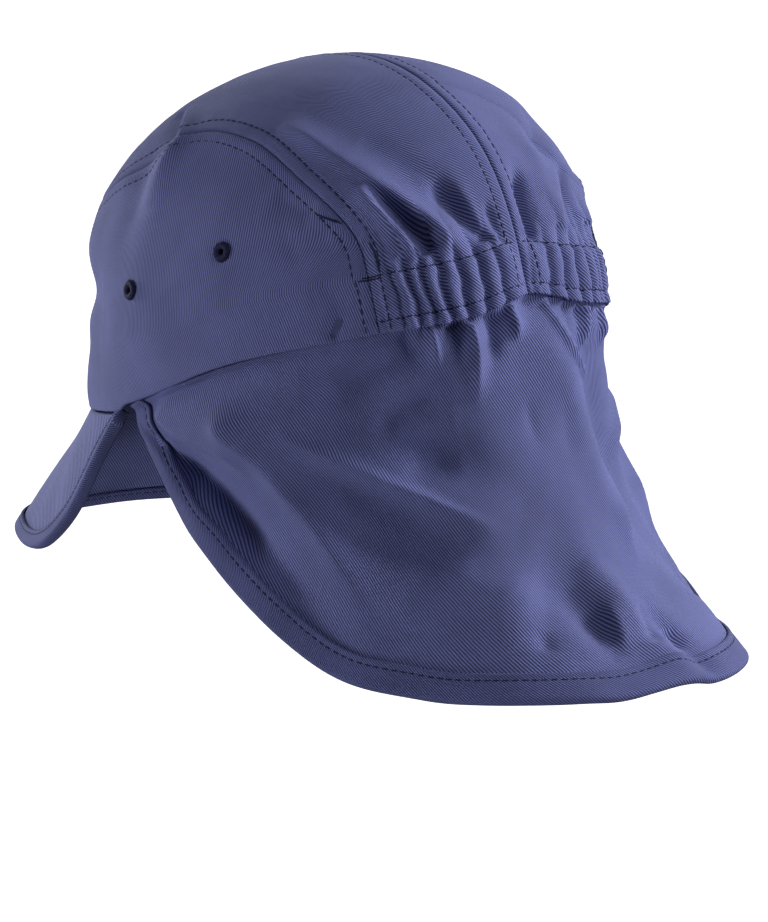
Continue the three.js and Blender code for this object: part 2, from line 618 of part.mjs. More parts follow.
const FLAP_TOPS = (() => {
  const first = FLAP_FAN[0].top;
  const front = steps(FRONT_COLUMNS).map((a) => a * (SIDE_SEAM_ANGLE - HALF_SEAM))
    .filter((angle) => angle > first + 1);
  const rear = REAR_COLUMNS.map((q) => mix(180 - HALF_SEAM, SIDE_SEAM_ANGLE + HALF_SEAM, q)).reverse();
  const left = [first].concat(front, rear.slice(1));
  return left.concat(left.map((angle) => 360 - angle).reverse());
})();

function neckFlapGeometry() {
  const rows = [-1].concat(whole(FLAP_ROWS));
  const surface = (depth) => grid(rows, FLAP_TOPS, (row, top) => {
    if (row < 0) return flapLine(top, -1, depth);
    const inner = flapShare(top, FLAP_BINDING_WIDTH);
    const share = row === FLAP_ROWS ? flapShare(top, BINDING_CLOTH + GAP) : inner * row / (FLAP_ROWS - 1);
    return flapLine(top, share, depth);
  });
  return solidBetween(surface(0), surface(CLOTH));
}

function flapBindingGeometry() {
  const widths = [FLAP_BINDING_WIDTH, CLOTH, 0, BINDING_CLOTH];
  const shares = (top) => widths.map((width) => flapShare(top, width));
  const point = (top, share, offset) => {
    const place = flapLine(top, share, CLOTH / 2 - offset);
    const near = Math.min(top, 360 - top);
    const ceiling = rimHeight(mix(near, fanAngle(near), share)) - SEAM_GAP;
    return place.setZ(Math.min(place.z, ceiling));
  };
  return bindingGeometry(FLAP_TOPS, CLOTH, shares, point);
}

// Library that cuts the eyelets' holes out of the front panel
const wasm = await Module();
wasm.setup();

function solidOf(geometry) {
  const bare = geometry.clone();
  bare.deleteAttribute('normal');
  bare.deleteAttribute('uv');
  const merged = mergeVertices(bare, SMALL);
  const vertProperties = new Float32Array(merged.getAttribute('position').array);
  const triVerts = new Uint32Array(merged.getIndex().array);
  return new wasm.Manifold(new wasm.Mesh({ numProp: 3, vertProperties, triVerts }));
}

function geometryOf(solid) {
  const mesh = solid.getMesh();
  const geometry = new THREE.BufferGeometry();
  geometry.setAttribute('position', new THREE.Float32BufferAttribute(mesh.vertProperties, 3));
  geometry.setIndex(Array.from(mesh.triVerts));
  return geometry;
}

// An eyelet's middle on the crown's outer face, and the turn that points +Y out of the cloth.
function eyeletFrame(u, v) {
  const out = normalOf(smoothCrown, u, v, SMALL, CROWN_MIDDLE);
  return new THREE.Matrix4()
    .makeRotationFromQuaternion(new THREE.Quaternion().setFromUnitVectors(new THREE.Vector3(0, 1, 0), out))
    .setPosition(crownPoint(u, v));
}

// Thread ring with a lip outside and inside the cloth.
function eyeletGeometry() {
  const inside = -CLOTH - GAP;
  const profile = [
    [EYELET_HOLE_RADIUS, inside - EYELET_RAISE],
    [EYELET_RADIUS, inside - EYELET_RAISE],
    [EYELET_RADIUS, inside - GAP],
    [EYELET_NECK_RADIUS, inside - GAP],
    [EYELET_NECK_RADIUS, GAP],
    [EYELET_RADIUS, GAP],
    [EYELET_RADIUS - GAP, GAP + EYELET_RAISE],
    [EYELET_HOLE_RADIUS, GAP + EYELET_RAISE],
    [EYELET_HOLE_RADIUS, inside - EYELET_RAISE],
  ].map(([x, y]) => new THREE.Vector2(x, y));
  return new THREE.LatheGeometry(profile, EYELET_SIDES);
}

// The four eyelets: two on each side.
const eyelets = [['left', 1], ['right', -1]].flatMap(([name, side]) => EYELETS.map((row) => ({
  name: `eyelet_${name}_${row.name}`,
  frame: eyeletFrame(side * row.u, row.v),
})));

function cutFrontPanelGeometry() {
  const drill = new THREE.CylinderGeometry(
    EYELET_NECK_RADIUS + GAP, EYELET_NECK_RADIUS + GAP, 8 * CLOTH, EYELET_SIDES);
  let panel = solidOf(frontPanelGeometry());
  eyelets.forEach((eyelet) => {
    panel = panel.subtract(solidOf(drill.clone().applyMatrix4(eyelet.frame)));
  });
  return geometryOf(panel);
}

// Colours and finishes
const twill = () => new THREE.MeshStandardMaterial({ color: 0x3b3f6e, roughness: 0.9, metalness: 0 });
const peakTwill = () => new THREE.MeshStandardMaterial({ color: 0x40446f, roughness: 0.9, metalness: 0 });
const bindingTwill = () => new THREE.MeshStandardMaterial({ color: 0x353a66, roughness: 0.88, metalness: 0 });
const thread = () => new THREE.MeshStandardMaterial({ color: 0x1c1f3d, roughness: 0.7, metalness: 0 });

const cap = new THREE.Group();

function add(name, geometry, material, frame) {
  const mesh = new THREE.Mesh(geometry, material);
  mesh.name = name;
  if (frame) mesh.applyMatrix4(frame);
  cap.add(mesh);
}

add('front_panel', cutFrontPanelGeometry(), twill());
add('rear_panel_left', rearPanelGeometry(1), twill());
add('rear_panel_right', rearPanelGeometry(-1), twill());
add('peak', peakGeometry(), peakTwill());
add('peak_binding', peakBindingGeometry(), bindingTwill());
add('neck_flap', neckFlapGeometry(), twill());
add('flap_binding', flapBindingGeometry(), bindingTwill());
eyelets.forEach((eyelet) => add(eyelet.name, eyeletGeometry(), thread(), eyelet.frame));

export default cap;
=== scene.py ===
import math

import bpy
import numpy as np
from mathutils import Matrix, Vector


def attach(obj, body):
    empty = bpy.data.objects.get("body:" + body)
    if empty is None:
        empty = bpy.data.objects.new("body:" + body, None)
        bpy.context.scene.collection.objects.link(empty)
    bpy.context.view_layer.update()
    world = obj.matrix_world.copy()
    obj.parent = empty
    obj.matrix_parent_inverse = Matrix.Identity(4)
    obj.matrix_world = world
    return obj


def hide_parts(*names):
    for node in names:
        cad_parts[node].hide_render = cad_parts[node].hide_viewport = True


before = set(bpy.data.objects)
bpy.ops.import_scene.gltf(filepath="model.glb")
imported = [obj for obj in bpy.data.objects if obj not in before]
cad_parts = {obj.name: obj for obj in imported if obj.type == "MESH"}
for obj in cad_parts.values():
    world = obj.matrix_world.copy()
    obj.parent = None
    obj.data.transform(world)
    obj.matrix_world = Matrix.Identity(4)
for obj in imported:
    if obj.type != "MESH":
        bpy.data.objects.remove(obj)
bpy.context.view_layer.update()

# A legionnaire cap of navy cotton twill. The shape is worked out in millimetres with the same named
# sizes and tables as the solids, on finer meshes, and each mesh is made in metres.

# Crown
RIM_HALF_WIDTH = 81
RIM_FRONT_REACH = 96
RIM_BACK_REACH = 100
RIM_FRONT_RISE = 13
RIM_RISE_POWER = 1.5
CROWN_HEIGHT = 106
RIM_FULLNESS = 0.05
CROWN_FOLD_DEPTH = 4
FOLD_END = 0.35

# Cloth
CLOTH = 1.2
GAP = 0.3
SEAM_GAP = 0.4
SEAM_SLIT = 0.02
SIDE_SEAM_ANGLE = 143.2
CASING_HEIGHT = 18
GATHER_DEPTH = 1.6

# Peak
PEAK_CORNER_ANGLE = 78
PEAK_AHEAD = 145
PEAK_DROP = 35
PEAK_CAMBER = 3
PEAK_THICKNESS = 2
PEAK_BINDING_WIDTH = 6.5
PEAK_CORNER_SINK = 4
PEAK_END = 0.95

# Neck flap
FLAP_LENGTH = 134
FLAP_FLARE = 31
FLAP_FLARE_POWER = 3
FLAP_HUG = 8
FLAP_HUG_END = 0.9
FLAP_HUG_POWER = 1.5
FLAP_SWING = 6
FLAP_SWING_POWER = 1.5
FLAP_FOLD_DEPTH = 8
FLAP_PLEAT_FADE = 9
RIM_SHADOW = 1.8
FLAP_TUCK = 8
FLAP_BINDING_WIDTH = 9.5
BINDING_CLOTH = 1

# Eyelets
EYELET_RADIUS = 3.6
EYELET_HOLE_RADIUS = 1.2
EYELET_NECK_RADIUS = 2

# Stitching
TOPSTITCH = 4.7
STITCH_PITCH = 3.1
STITCH_LENGTH = 2.45
STITCH_WIDTH = 0.58
HEM_STITCH = 3.6

# rho, up, side, front, back
SECTIONS = [
    (1, 0, 1, 1, 1), (0.85, 0.25, 0.99, 0.945, 0.995), (0.7, 0.47, 0.94, 0.88, 0.94),
    (0.55, 0.66, 0.83, 0.785, 0.82), (0.4, 0.815, 0.66, 0.635, 0.655), (0.25, 0.93, 0.43, 0.42, 0.43),
    (0.12, 0.984, 0.205, 0.2, 0.205), (0, 1, 0, 0, 0),
]
# angle, rise
RIM_LINE = [(0, 1), (30, 0.92), (55, 0.38), (78, 0), (110, 0.11), (142, -0.08), (165, -0.08), (180, 0.23)]
# angle, rho
PANEL_SEAM = [
    (SIDE_SEAM_ANGLE, 0.89), (143, 0.84), (141, 0.785), (134.7, 0.683), (124, 0.536), (108, 0.452),
    (90, 0.47), (72, 0.497), (50, 0.53), (25, 0.585), (0, 0.61),
]
# u0, v0, u1, v1, width, depth
CROWN_FOLDS = [
    (0.4, 0.34, 0.415, 0.59, 0.06, 0.35), (0.41, 0.6, 0.25, 0.83, 0.035, 0.55),
    (0.412, 0.594, 0.37, 0.8, 0.022, 0.45), (0.395, 0.61, 0.325, 0.8, 0.024, -0.5),
    (0.3, 0.52, 0.225, 0.76, 0.05, -0.4), (0.205, 0.7, 0.144, 0.845, 0.03, -0.5),
    (-0.093, 0.74, -0.072, 0.9, 0.026, -0.55), (-0.3, 0.6, -0.345, 0.8, 0.04, -0.5),
    (-0.2, 0.64, -0.19, 0.83, 0.045, 0.35), (0.47, 0.06, 0.62, 0.05, 0.05, 0.7),
    (0.44, -0.04, 0.64, -0.05, 0.06, -0.45), (0.4, -0.69, 0.75, -0.27, 0.07, -1.3),
    (0.5, -0.76, 0.84, -0.35, 0.055, -0.5), (-0.34, 0.38, -0.26, 0.56, 0.2, 0.75),
    (0.69, 0.655, 0.631, 0.694, 0.04, -0.2), (-0.62, 0.1, -0.52, 0.06, 0.07, 0.45),
]
# at, width, depth
GATHERS = [
    (0.09, 0.035, 0.55), (0.19, 0.035, 0.9), (0.28, 0.032, 0.8), (0.37, 0.036, 1), (0.48, 0.042, 1),
    (0.61, 0.046, 0.9), (0.74, 0.046, 0.85), (0.87, 0.044, 0.6),
]
# at, across, ahead, drop
PEAK_EDGE = [
    (0, 0, 1, 0.5), (0.15, 0.3, 0.967, 0.54), (0.29, 0.57, 0.872, 0.68), (0.43, 0.735, 0.728, 0.93),
    (0.57, 0.84, 0.568, 1.02), (0.71, 0.915, 0.377, 0.85), (0.86, 0.965, 0.178, 0.42), (1, 1, 0, 0.02),
]
# from_back, length, flare, hug, swing
FLAP_HEM = [
    (0, 1, 1, 0.5, 0), (22, 0.955, 0.94, 1, 0.8), (45, 0.88, 0.45, 1, 0.5), (65, 0.765, 0.35, 0.75, 1),
    (85, 0.442, 0.16, 0.12, 0.5), (97, 0.198, 0, 0, 0.3), (102, 0.009, 0, 0, 0),
]
# top, hem
FLAP_FAN = [(84.3, 78), (95, 83.5), (110, 96.5), (125, 115), (SIDE_SEAM_ANGLE, 138.5), (180, 180)]
# angle0, down0, angle1, down1, width, depth
FLAP_FOLDS = [
    (100, 0.12, 130, 0.86, 0.11, 0.6), (86, 0.4, 114, 0.8, 0.075, -0.5), (112, 0.2, 163, 0.56, 0.08, 0.4),
    (122, 0.16, 156, 0.2, 0.06, -0.38), (131, 0.46, 160, 0.7, 0.12, -0.35),
    (183, 0.02, 196, 0.6, 0.085, 0.55), (197, 0.05, 216, 0.45, 0.085, -0.55),
    (168, 0.7, 173, 0.9, 0.05, -0.4), (176, 0.66, 184, 0.95, 0.045, 0.3), (186, 0.8, 190, 0.98, 0.035, -0.3),
    (206, 0.35, 222, 0.8, 0.13, -0.5), (256, 0.15, 240, 0.85, 0.11, 0.4),
    (268, 0.35, 255, 0.85, 0.075, -0.35),
]
EYELETS = [("rear", 0.722, 0.306), ("front", 0.789, -0.052)]

SMALL = 1e-3


# Curves and surfaces

def mix(a, b, t):
    return a + (b - a) * t


def bell(x, centre, width):
    return np.exp(-((x - centre) / width) ** 2)


def smoothstep(low, high, x):
    t = np.clip((x - low) / (high - low), 0, 1)
    return t * t * (3 - 2 * t)


def spline(xs, ys):
    xs, ys = np.array(xs, float), np.array(ys, float)
    slopes = np.empty(len(xs))
    slopes[0] = (ys[1] - ys[0]) / (xs[1] - xs[0])
    slopes[-1] = (ys[-1] - ys[-2]) / (xs[-1] - xs[-2])
    for i in range(1, len(xs) - 1):
        before, after = xs[i] - xs[i - 1], xs[i + 1] - xs[i]
        rise = before * before * ys[i + 1] - after * after * ys[i - 1]
        slopes[i] = (rise + (after * after - before * before) * ys[i]) / (before * after * (before + after))

    def value(x):
        x = np.asarray(x, float)
        i = np.clip(np.searchsorted(xs, x, side="right") - 1, 0, len(xs) - 2)
        step = xs[i + 1] - xs[i]
        s = (x - xs[i]) / step
        s2, s3 = s * s, s * s * s
        return ((2 * s3 - 3 * s2 + 1) * ys[i] + (s3 - 2 * s2 + s) * step * slopes[i]
                + (3 * s2 - 2 * s3) * ys[i + 1] + (s3 - s2) * step * slopes[i + 1])

    return value


def column(table, k, parity=0):
    rows = sorted((row[0], row[k]) for row in table)
    if parity:
        rows = sorted([(-x, parity * y) for x, y in rows if x > 0]) + rows
    return spline([row[0] for row in rows], [row[1] for row in rows])


section_up = column(SECTIONS, 1, 1)
section_side = column(SECTIONS, 2, -1)
section_front = column(SECTIONS, 3, -1)
section_back = column(SECTIONS, 4, -1)
rim_rise = column(RIM_LINE + [(360 - a, r) for a, r in RIM_LINE[-2:0:-1]], 1, 1)


def rim_height(angle):
    return RIM_FRONT_RISE * rim_rise(np.abs(np.mod(angle + 180, 360) - 180))


def disk_of(angle, rho):
    turn = np.radians(angle)
    return rho * np.sin(turn), -rho * np.cos(turn)


def smooth_crown(u, v):
    rho, turn = np.hypot(u, v), np.arctan2(u, -v)
    s, c = np.sin(turn), np.cos(turn)
    up = section_up(rho)
    reach = np.where(c > 0, RIM_FRONT_REACH * section_front(rho), RIM_BACK_REACH * section_back(rho))
    return np.stack([
        RIM_HALF_WIDTH * section_side(rho) * s * (1 + RIM_FULLNESS * c * c),
        -reach * c * (1 + RIM_FULLNESS * s * s),
        CROWN_HEIGHT * up + rim_height(np.degrees(turn)) * np.maximum(0, 1 - up) ** RIM_RISE_POWER,
    ], -1)


def runs(points, axis):
    """Distance covered along an axis of a grid of points, from its start."""
    steps = np.linalg.norm(np.diff(points, axis=axis), axis=-1)
    start = np.zeros_like(np.take(steps, [0], axis=axis))
    return np.concatenate([start, np.cumsum(steps, axis=axis)], axis=axis)


def unit(vectors):
    return vectors / np.linalg.norm(vectors, axis=-1, keepdims=True)


def normal_of(surface, a, b, step, out_from):
    da = surface(a + step, b) - surface(a - step, b)
    db = surface(a, b + step) - surface(a, b - step)
    normal = unit(np.cross(da, db))
    inward = np.sum(normal * (surface(a, b) - out_from), -1, keepdims=True) < 0
    return np.where(inward, -normal, normal)


def crown_normal(u, v):
    return normal_of(smooth_crown, u, v, SMALL, np.zeros(3))


def fold_share(x, y, x0, y0, x1, y1, width):
    dx, dy = x1 - x0, y1 - y0
    along = np.clip(((x - x0) * dx + (y - y0) * dy) / (dx * dx + dy * dy), 0, 1)
    away = np.hypot(x - x0 - along * dx, y - y0 - along * dy) / width
    return np.exp(-away * away) * mix(FOLD_END, 1, np.sqrt(np.abs(np.sin(np.pi * along))))


CASING_RHO = 1 - (1 - SECTIONS[1][0]) * CASING_HEIGHT / (SECTIONS[1][1] * CROWN_HEIGHT)
TUCK_RHO = 1 - (1 - CASING_RHO) * (FLAP_TUCK / CASING_HEIGHT)
HALF_SEAM = math.degrees(SEAM_SLIT / 2 / RIM_BACK_REACH)


def waves(x, seed):
    """Uneven ripple from -1 to 1 along x, the same on every run."""
    return (np.sin(x + 1.7 * seed) + 0.6 * np.sin(1.93 * x + 2.9 * seed)
            + 0.4 * np.sin(3.37 * x + 4.1 * seed)) / 2


def rough(x, y, cell, seed):
    """Smooth value noise from -1 to 1 over cells of a size."""
    x, y = x / cell, y / cell
    i, j = np.floor(x), np.floor(y)
    fx, fy = x - i, y - j
    fx, fy = fx * fx * (3 - 2 * fx), fy * fy * (3 - 2 * fy)

    def corner(a, b):
        return np.mod(np.abs(np.sin(a * 127.1 + b * 311.7 + seed * 74.7) * 43758.5453), 1) * 2 - 1

    low = mix(corner(i, j), corner(i + 1, j), fx)
    high = mix(corner(i, j + 1), corner(i + 1, j + 1), fx)
    return mix(low, high, fy)


GATHER_AT = [row[0] for row in GATHERS]
GATHER_VALLEYS = [0.045] + [(a + b) / 2 for a, b in zip(GATHER_AT, GATHER_AT[1:])] + [0.955]


def gather_pillows(angle, high):
    """Ridges of the elastic as soft pillows with sharp creases between, 0 to 1; high is mm above the rim."""
    angle = np.mod(angle, 360)
    left = angle <= 180
    at = (180 - np.abs(180 - angle) - SIDE_SEAM_ANGLE) / (180 - SIDE_SEAM_ANGLE)
    seed = np.where(left, 1.0, 5.3)
    at = at + 0.016 * waves(high / 4.2 + at * 9, seed) + 0.0012 * (high - CASING_HEIGHT / 2)
    total = np.zeros_like(at)
    for (centre, _, depth), low, top in zip(GATHERS, GATHER_VALLEYS, GATHER_VALLEYS[1:]):
        t = np.where(at < centre, (centre - at) / (centre - low), (at - centre) / (top - centre))
        total = np.where((at >= low) & (at < top), depth * (1 - np.clip(t, 0, 1) ** 2.2), total)
    return total


def crown_folds(u, v):
    return CROWN_FOLD_DEPTH * sum(d * fold_share(u, v, a, b, c, e, w) for a, b, c, e, w, d in CROWN_FOLDS)


SEAM_AT = [i / (len(PANEL_SEAM) - 1) for i in range(len(PANEL_SEAM))]
seam_angle = spline(SEAM_AT, [row[0] for row in PANEL_SEAM])
seam_rho = spline(SEAM_AT, [row[1] for row in PANEL_SEAM])
NOTCH_AT = SEAM_AT[2]
REAR_CORNER_AT = NOTCH_AT + 14 * (1 - NOTCH_AT) / 22


def seam_point(at):
    return disk_of(seam_angle(at), seam_rho(at))


def seam_edge(at, shift):
    """The panels' seam moved by a shift in mm, outward to the front panel when positive."""
    u, v = seam_point(at)
    u0, v0 = seam_point(np.maximum(0, at - SMALL))
    u1, v1 = seam_point(np.minimum(1, at + SMALL))
    run = np.hypot(u1 - u0, v1 - v0)
    across_u, across_v = -(v1 - v0) / run, (u1 - u0) / run
    ended = np.asarray(at) >= 1
    across_u, across_v = np.where(ended, 0, across_u), np.where(ended, -1, across_v)
    step = smooth_crown(u + SMALL * across_u, v + SMALL * across_v) - smooth_crown(u, v)
    scale = np.linalg.norm(step, axis=-1) / SMALL
    return np.where(ended, 0, u + across_u * shift / scale), v + across_v * shift / scale


# Seams as lines in space

def seam_line(side):
    """The side seam from the rim up and on over the temple to the middle of the front."""
    u0, v0 = disk_of(SIDE_SEAM_ANGLE, np.linspace(1, 0.895, 40))
    u1, v1 = seam_point(np.linspace(0, 1, 500))
    line = smooth_crown(np.concatenate([u0, u1]), np.concatenate([v0, v1]))
    return line * np.array([side, 1, 1])


SIDE_LINES = {side: seam_line(side) for side in (1, -1)}
BACK_LINE = smooth_crown(np.zeros(400), np.linspace(1, -0.61, 400))


def away_from(points, line):
    """Distance of each point from a line, and where along it the nearest point is, in mm."""
    run = runs(line, 0)
    flat = points.reshape(-1, points.shape[-1])
    far = np.empty(len(flat))
    near = np.empty(len(flat))
    for i in range(0, len(flat), 3000):
        gap = ((flat[i:i + 3000, None, :] - line[None, :, :]) ** 2).sum(2)
        k = gap.argmin(1)
        far[i:i + 3000] = np.sqrt(gap[np.arange(len(k)), k])
        near[i:i + 3000] = run[k]
    return far.reshape(points.shape[:-1]), near.reshape(points.shape[:-1])


def seam_profile(away, along, seed):
    """Raised band of a top-stitched seam: groove in the middle, a dip under each row of stitches."""
    band = 0.24 * (1 - smoothstep(TOPSTITCH + 0.3, TOPSTITCH + 1.8, away))
    groove = -0.62 * bell(away, 0, 0.75)
    row = -0.34 * bell(away, TOPSTITCH, 0.75)
    pucker = 0.13 * waves(along / 1.55, seed) * bell(away, TOPSTITCH, 3.2)
    return band + groove + row + pucker


def above_rim(u, v):
    """Height above the rim in mm, measured up the cloth near it."""
    return (1 - np.hypot(u, v)) / (1 - CASING_RHO) * CASING_HEIGHT


def creases(table, units, place, x, y):
    """Sum in mm of a table's creases: bent lines with a width to each side, which fade at both ends."""
    x, y = np.broadcast_arrays(np.asarray(x, float), np.asarray(y, float))
    spots = place(x, y)
    total = np.zeros(x.shape)
    for points, left, right, height, start, end in table:
        points = np.reshape(points, (-1, 2)) / units
        at = np.linspace(0, len(points) - 1, 220)
        line_x, line_y = (spline(np.arange(len(points)), coordinate)(at) for coordinate in points.T)
        line = place(line_x, line_y)
        run = runs(line, 0)
        far, near = away_from(spots, line)
        here_x, here_y = np.interp(near, run, line_x), np.interp(near, run, line_y)
        ahead_x = np.interp(near, run, np.gradient(line_x))
        ahead_y = np.interp(near, run, np.gradient(line_y))
        on_left = ahead_x * (y - here_y) - ahead_y * (x - here_x) > 0
        share = near / run[-1]
        fade = smoothstep(0, start, share) * smoothstep(1, 1 - end, share)
        total += height * fade * np.exp(-(far / np.where(on_left, left, right)) ** CREASE_POWER)
    return total


CREASE_POWER = 1.6
CROWN_CREASE = 1.7
FLAP_CREASE = 2.2
# Sharper creases than the solids have.
# line of u, v in thousandths, left width, right width, height, fades at its ends
CROWN_CREASES = [
    ([374, 316, 384, 397, 385, 505, 361, 605, 334, 690, 295, 758, 263, 810, 238, 847], 5, 3, 1.7, 0.25, 0.08),
    ([387, 597, 371, 647, 355, 708, 337, 763, 322, 814], 2.6, 3, -2.6, 0.35, 0.05),
    ([407, 572, 402, 643, 397, 719, 386, 782], 3, 5, 1.5, 0.3, 0.08),
    ([204, 684, 191, 765, 160, 819, 125, 872], 3.6, 4, -1.9, 0.35, 0.05),
    ([152, 713, 147, 783, 129, 835, 95, 887], 3, 3.4, 1.1, 0.4, 0.05),
    ([79, 787, 79, 845, 69, 891], 2.4, 2.6, -1.5, 0.4, 0.05),
    ([-100, 721, -78, 795, -78, 839, -82, 891], 2, 2.4, -1.7, 0.3, 0.05),
    ([-327, 424, -328, 490, -281, 592, -256, 671], 7, 6, -1.5, 0.3, 0.3),
    ([-317, 597, -250, 737, -209, 845], 4, 4, 1, 0.3, 0.05),
    ([-393, 578, -327, 729, -329, 803], 2.4, 2.8, -1.4, 0.3, 0.05),
    ([-470, 560, -440, 660, -420, 745], 4, 4, 1.2, 0.3, 0.05),
    ([219, -75, 377, 38, 452, 78, 546, 67, 603, 55], 4, 2.4, 1, 0.5, 0.3),
    ([291, -33, 391, 22, 459, 44], 2.5, 5, -1.2, 0.2, 0.3),
    ([552, 409, 545, 481, 526, 542], 4, 5, -0.8, 0.3, 0.2),
    ([674, 477, 603, 540, 528, 595], 4, 5, -0.55, 0.3, 0.2),
    ([625, 485, 569, 531, 513, 573], 3.5, 3.5, 0.4, 0.3, 0.2),
    ([731, 674, 690, 684, 649, 699], 2.2, 1.8, -0.9, 0.1, 0.5),
    ([-250, -80, -400, 20, -560, 70], 4, 5, 0.7, 0.5, 0.4),
    ([-560, 380, -550, 470, -520, 550], 5, 5, -0.8, 0.3, 0.3),
]
# line of angle, down in thousandths, left width, right width, height, fades at its ends
FLAP_CREASES = [
    ([103.4, 109, 105.1, 227, 108.7, 304, 112.2, 386, 114.8, 463, 117.7, 526, 122.4, 645, 127.4, 776], 4.5, 8,
     2.2, 0.15, 0.25),
    ([88.1, 383, 91.5, 568, 96.8, 613, 101.4, 677, 107.2, 760], 4, 6, -2.6, 0.25, 0.3),
    ([85, 119, 88.2, 182, 93.6, 290, 100.2, 334, 105.3, 391, 107, 442], 1.8, 9, 1.3, 0.15, 0.3),
    ([118, 170, 130, 250, 142, 300, 154, 330, 166, 340], 11, 11, -1.8, 0.3, 0.4),
    ([114.3, 218, 119.3, 273, 126.6, 320, 135.3, 382, 144.2, 442, 151.1, 491, 157.9, 532, 163.2, 558], 8, 2.2,
     1.8, 0.3, 0.35),
    ([122.9, 124, 127.9, 120, 133.9, 120, 140.7, 98, 146.4, 72, 152.8, 34], 7, 6, -3, 0.3, 0.15),
    ([134.5, 264, 140, 235, 147.3, 207, 154.4, 183], 4.5, 4, -1.6, 0.3, 0.3),
    ([139.6, 377, 147.3, 361, 156.2, 349], 5, 5, -0.9, 0.4, 0.4),
    ([174.4, 225, 175, 307, 175.4, 389], 3, 3, -0.4, 0.4, 0.4),
    ([184.4, 225, 184.3, 320, 183.2, 422], 3.5, 3.5, -0.4, 0.4, 0.4),
    ([154.6, 7, 154.5, 63, 154, 129], 2.2, 2.4, 1.7, 0.05, 0.5),
    ([163.4, 10, 163.4, 82, 162.6, 155, 162.4, 220], 2.4, 3.4, 2.3, 0.05, 0.45),
    ([174.3, 8, 174.6, 61, 175, 114], 2.4, 2.8, 1.5, 0.05, 0.5),
    ([159.1, 9, 159.3, 60, 158.8, 117], 2.6, 2.6, -1.3, 0.05, 0.5),
    ([170, 10, 169, 75, 166.6, 146], 3, 3, -1.3, 0.05, 0.5),
    ([184.2, 7, 186.3, 72, 189.3, 128, 195.1, 175, 201.3, 216], 2.2, 4, 1.2, 0.05, 0.3),
    ([203.6, 238, 207.1, 312, 204.5, 382, 200.4, 474, 194.9, 583, 192.7, 654, 191.4, 717], 5, 3, 0.8, 0.3, 0.3),
    ([142.1, 597, 149.1, 660, 156.7, 726, 163.4, 760], 14, 14, 2.2, 0.35, 0.35),
    ([159, 803, 158.3, 873], 3, 3, -0.6, 0.4, 0.3),
    ([170.2, 759, 170.4, 807, 171.1, 856], 4, 4, -0.4, 0.4, 0.3),
    ([174.4, 758, 175.2, 823, 174.6, 894], 3, 4, 1.1, 0.4, 0.3),
    ([183.5, 783, 182.7, 835, 180.8, 906], 3.6, 3.6, -1.3, 0.4, 0.3),
    ([188.8, 844, 188.2, 905], 3, 3, -1, 0.4, 0.3),
    ([257, 120, 252, 330, 243, 560, 236, 740], 7, 3.6, 2, 0.2, 0.3),
    ([240, 200, 228, 330, 217, 430], 3, 7, 1.5, 0.3, 0.4),
    ([236, 110, 226, 130, 214, 80], 4, 5, -1.6, 0.3, 0.3),
    ([199, 8, 198.5, 70, 197.5, 140], 2.6, 2.6, 1.6, 0.05, 0.5),
    ([208, 8, 209, 60, 211, 120], 2.6, 2.6, 1.3, 0.05, 0.5),
    ([221, 780, 219, 860], 4, 4, -1.1, 0.4, 0.3),
]


def crown_lift(u, v, rear):
    """How far the cloth stands out from the smooth crown, in mm."""
    base = smooth_crown(u, v)
    angle = np.degrees(np.arctan2(u, -v))
    high = above_rim(u, v)
    lift = crown_folds(u, v) + CROWN_CREASE * creases(CROWN_CREASES, (1000, 1000), smooth_crown, u, v)
    lift += 0.30 * rough(base[..., 0] + 0.6 * base[..., 1], base[..., 2] + 0.3 * base[..., 1], 17, 3)
    lift += 0.10 * rough(base[..., 0] - 0.5 * base[..., 2], base[..., 1] + 0.5 * base[..., 2], 6, 8)
    left, right = (away_from(base, SIDE_LINES[side]) for side in (1, -1))
    away, along = np.where(np.asarray(u) >= 0, left, right)
    lift += seam_profile(away, along, 2.0)
    if rear:
        back, up = away_from(base, BACK_LINE)
        lift += seam_profile(back, up, 4.4)
        calm = smoothstep(0.6, 3.2, away) * smoothstep(0.3, 2.2, back)
        over = smoothstep(CASING_HEIGHT + 24, CASING_HEIGHT, high)
        deeper = GATHER_DEPTH + 1.4 * smoothstep(CASING_HEIGHT + 4, CASING_HEIGHT - 3, high)
        lift += deeper * calm * over * gather_pillows(angle, high)
        puff = np.clip(np.sin(np.pi * (high - HEM_STITCH) / (CASING_HEIGHT - HEM_STITCH)), 0, 1)
        inside = (high > HEM_STITCH) & (high < CASING_HEIGHT)
        lift += np.where(inside, 0.5 * np.sqrt(puff), 0) * calm
        lift -= 0.45 * bell(high, CASING_HEIGHT, 0.9) * calm
        lift -= 0.40 * bell(high, HEM_STITCH, 0.8) * calm
    else:
        dents = 0.25 * bell(high, 3.5, 4)
        dents += 0.5 * rough(base[..., 1] + 0.4 * base[..., 2], base[..., 2], 24, 5)
        lift += dents * smoothstep(0.5, 8, away)
    return lift


def crown_out(u, v, rear, depth=0.0):
    """Point of the finished cloth, moved in by a depth."""
    return smooth_crown(u, v) + crown_normal(u, v) * (crown_lift(u, v, rear) - depth)[..., None]


# Places on the panels

def patch(bottom, top, left, right, a, b):
    """Place between four sides, for each of its two coordinates."""
    out = []
    for k in (0, 1):
        c00, c10, c01, c11 = bottom(0.0)[k], bottom(1.0)[k], top(0.0)[k], top(1.0)[k]
        out.append(mix(bottom(a)[k], top(a)[k], b) + mix(left(b)[k], right(b)[k], a)
                   - mix(mix(c00, c10, a), mix(c01, c11, a), b))
    return out


# Share of a panel's rows that lie in the band beside the rim
FRONT_BAND = 0.24
REAR_BAND = 0.11


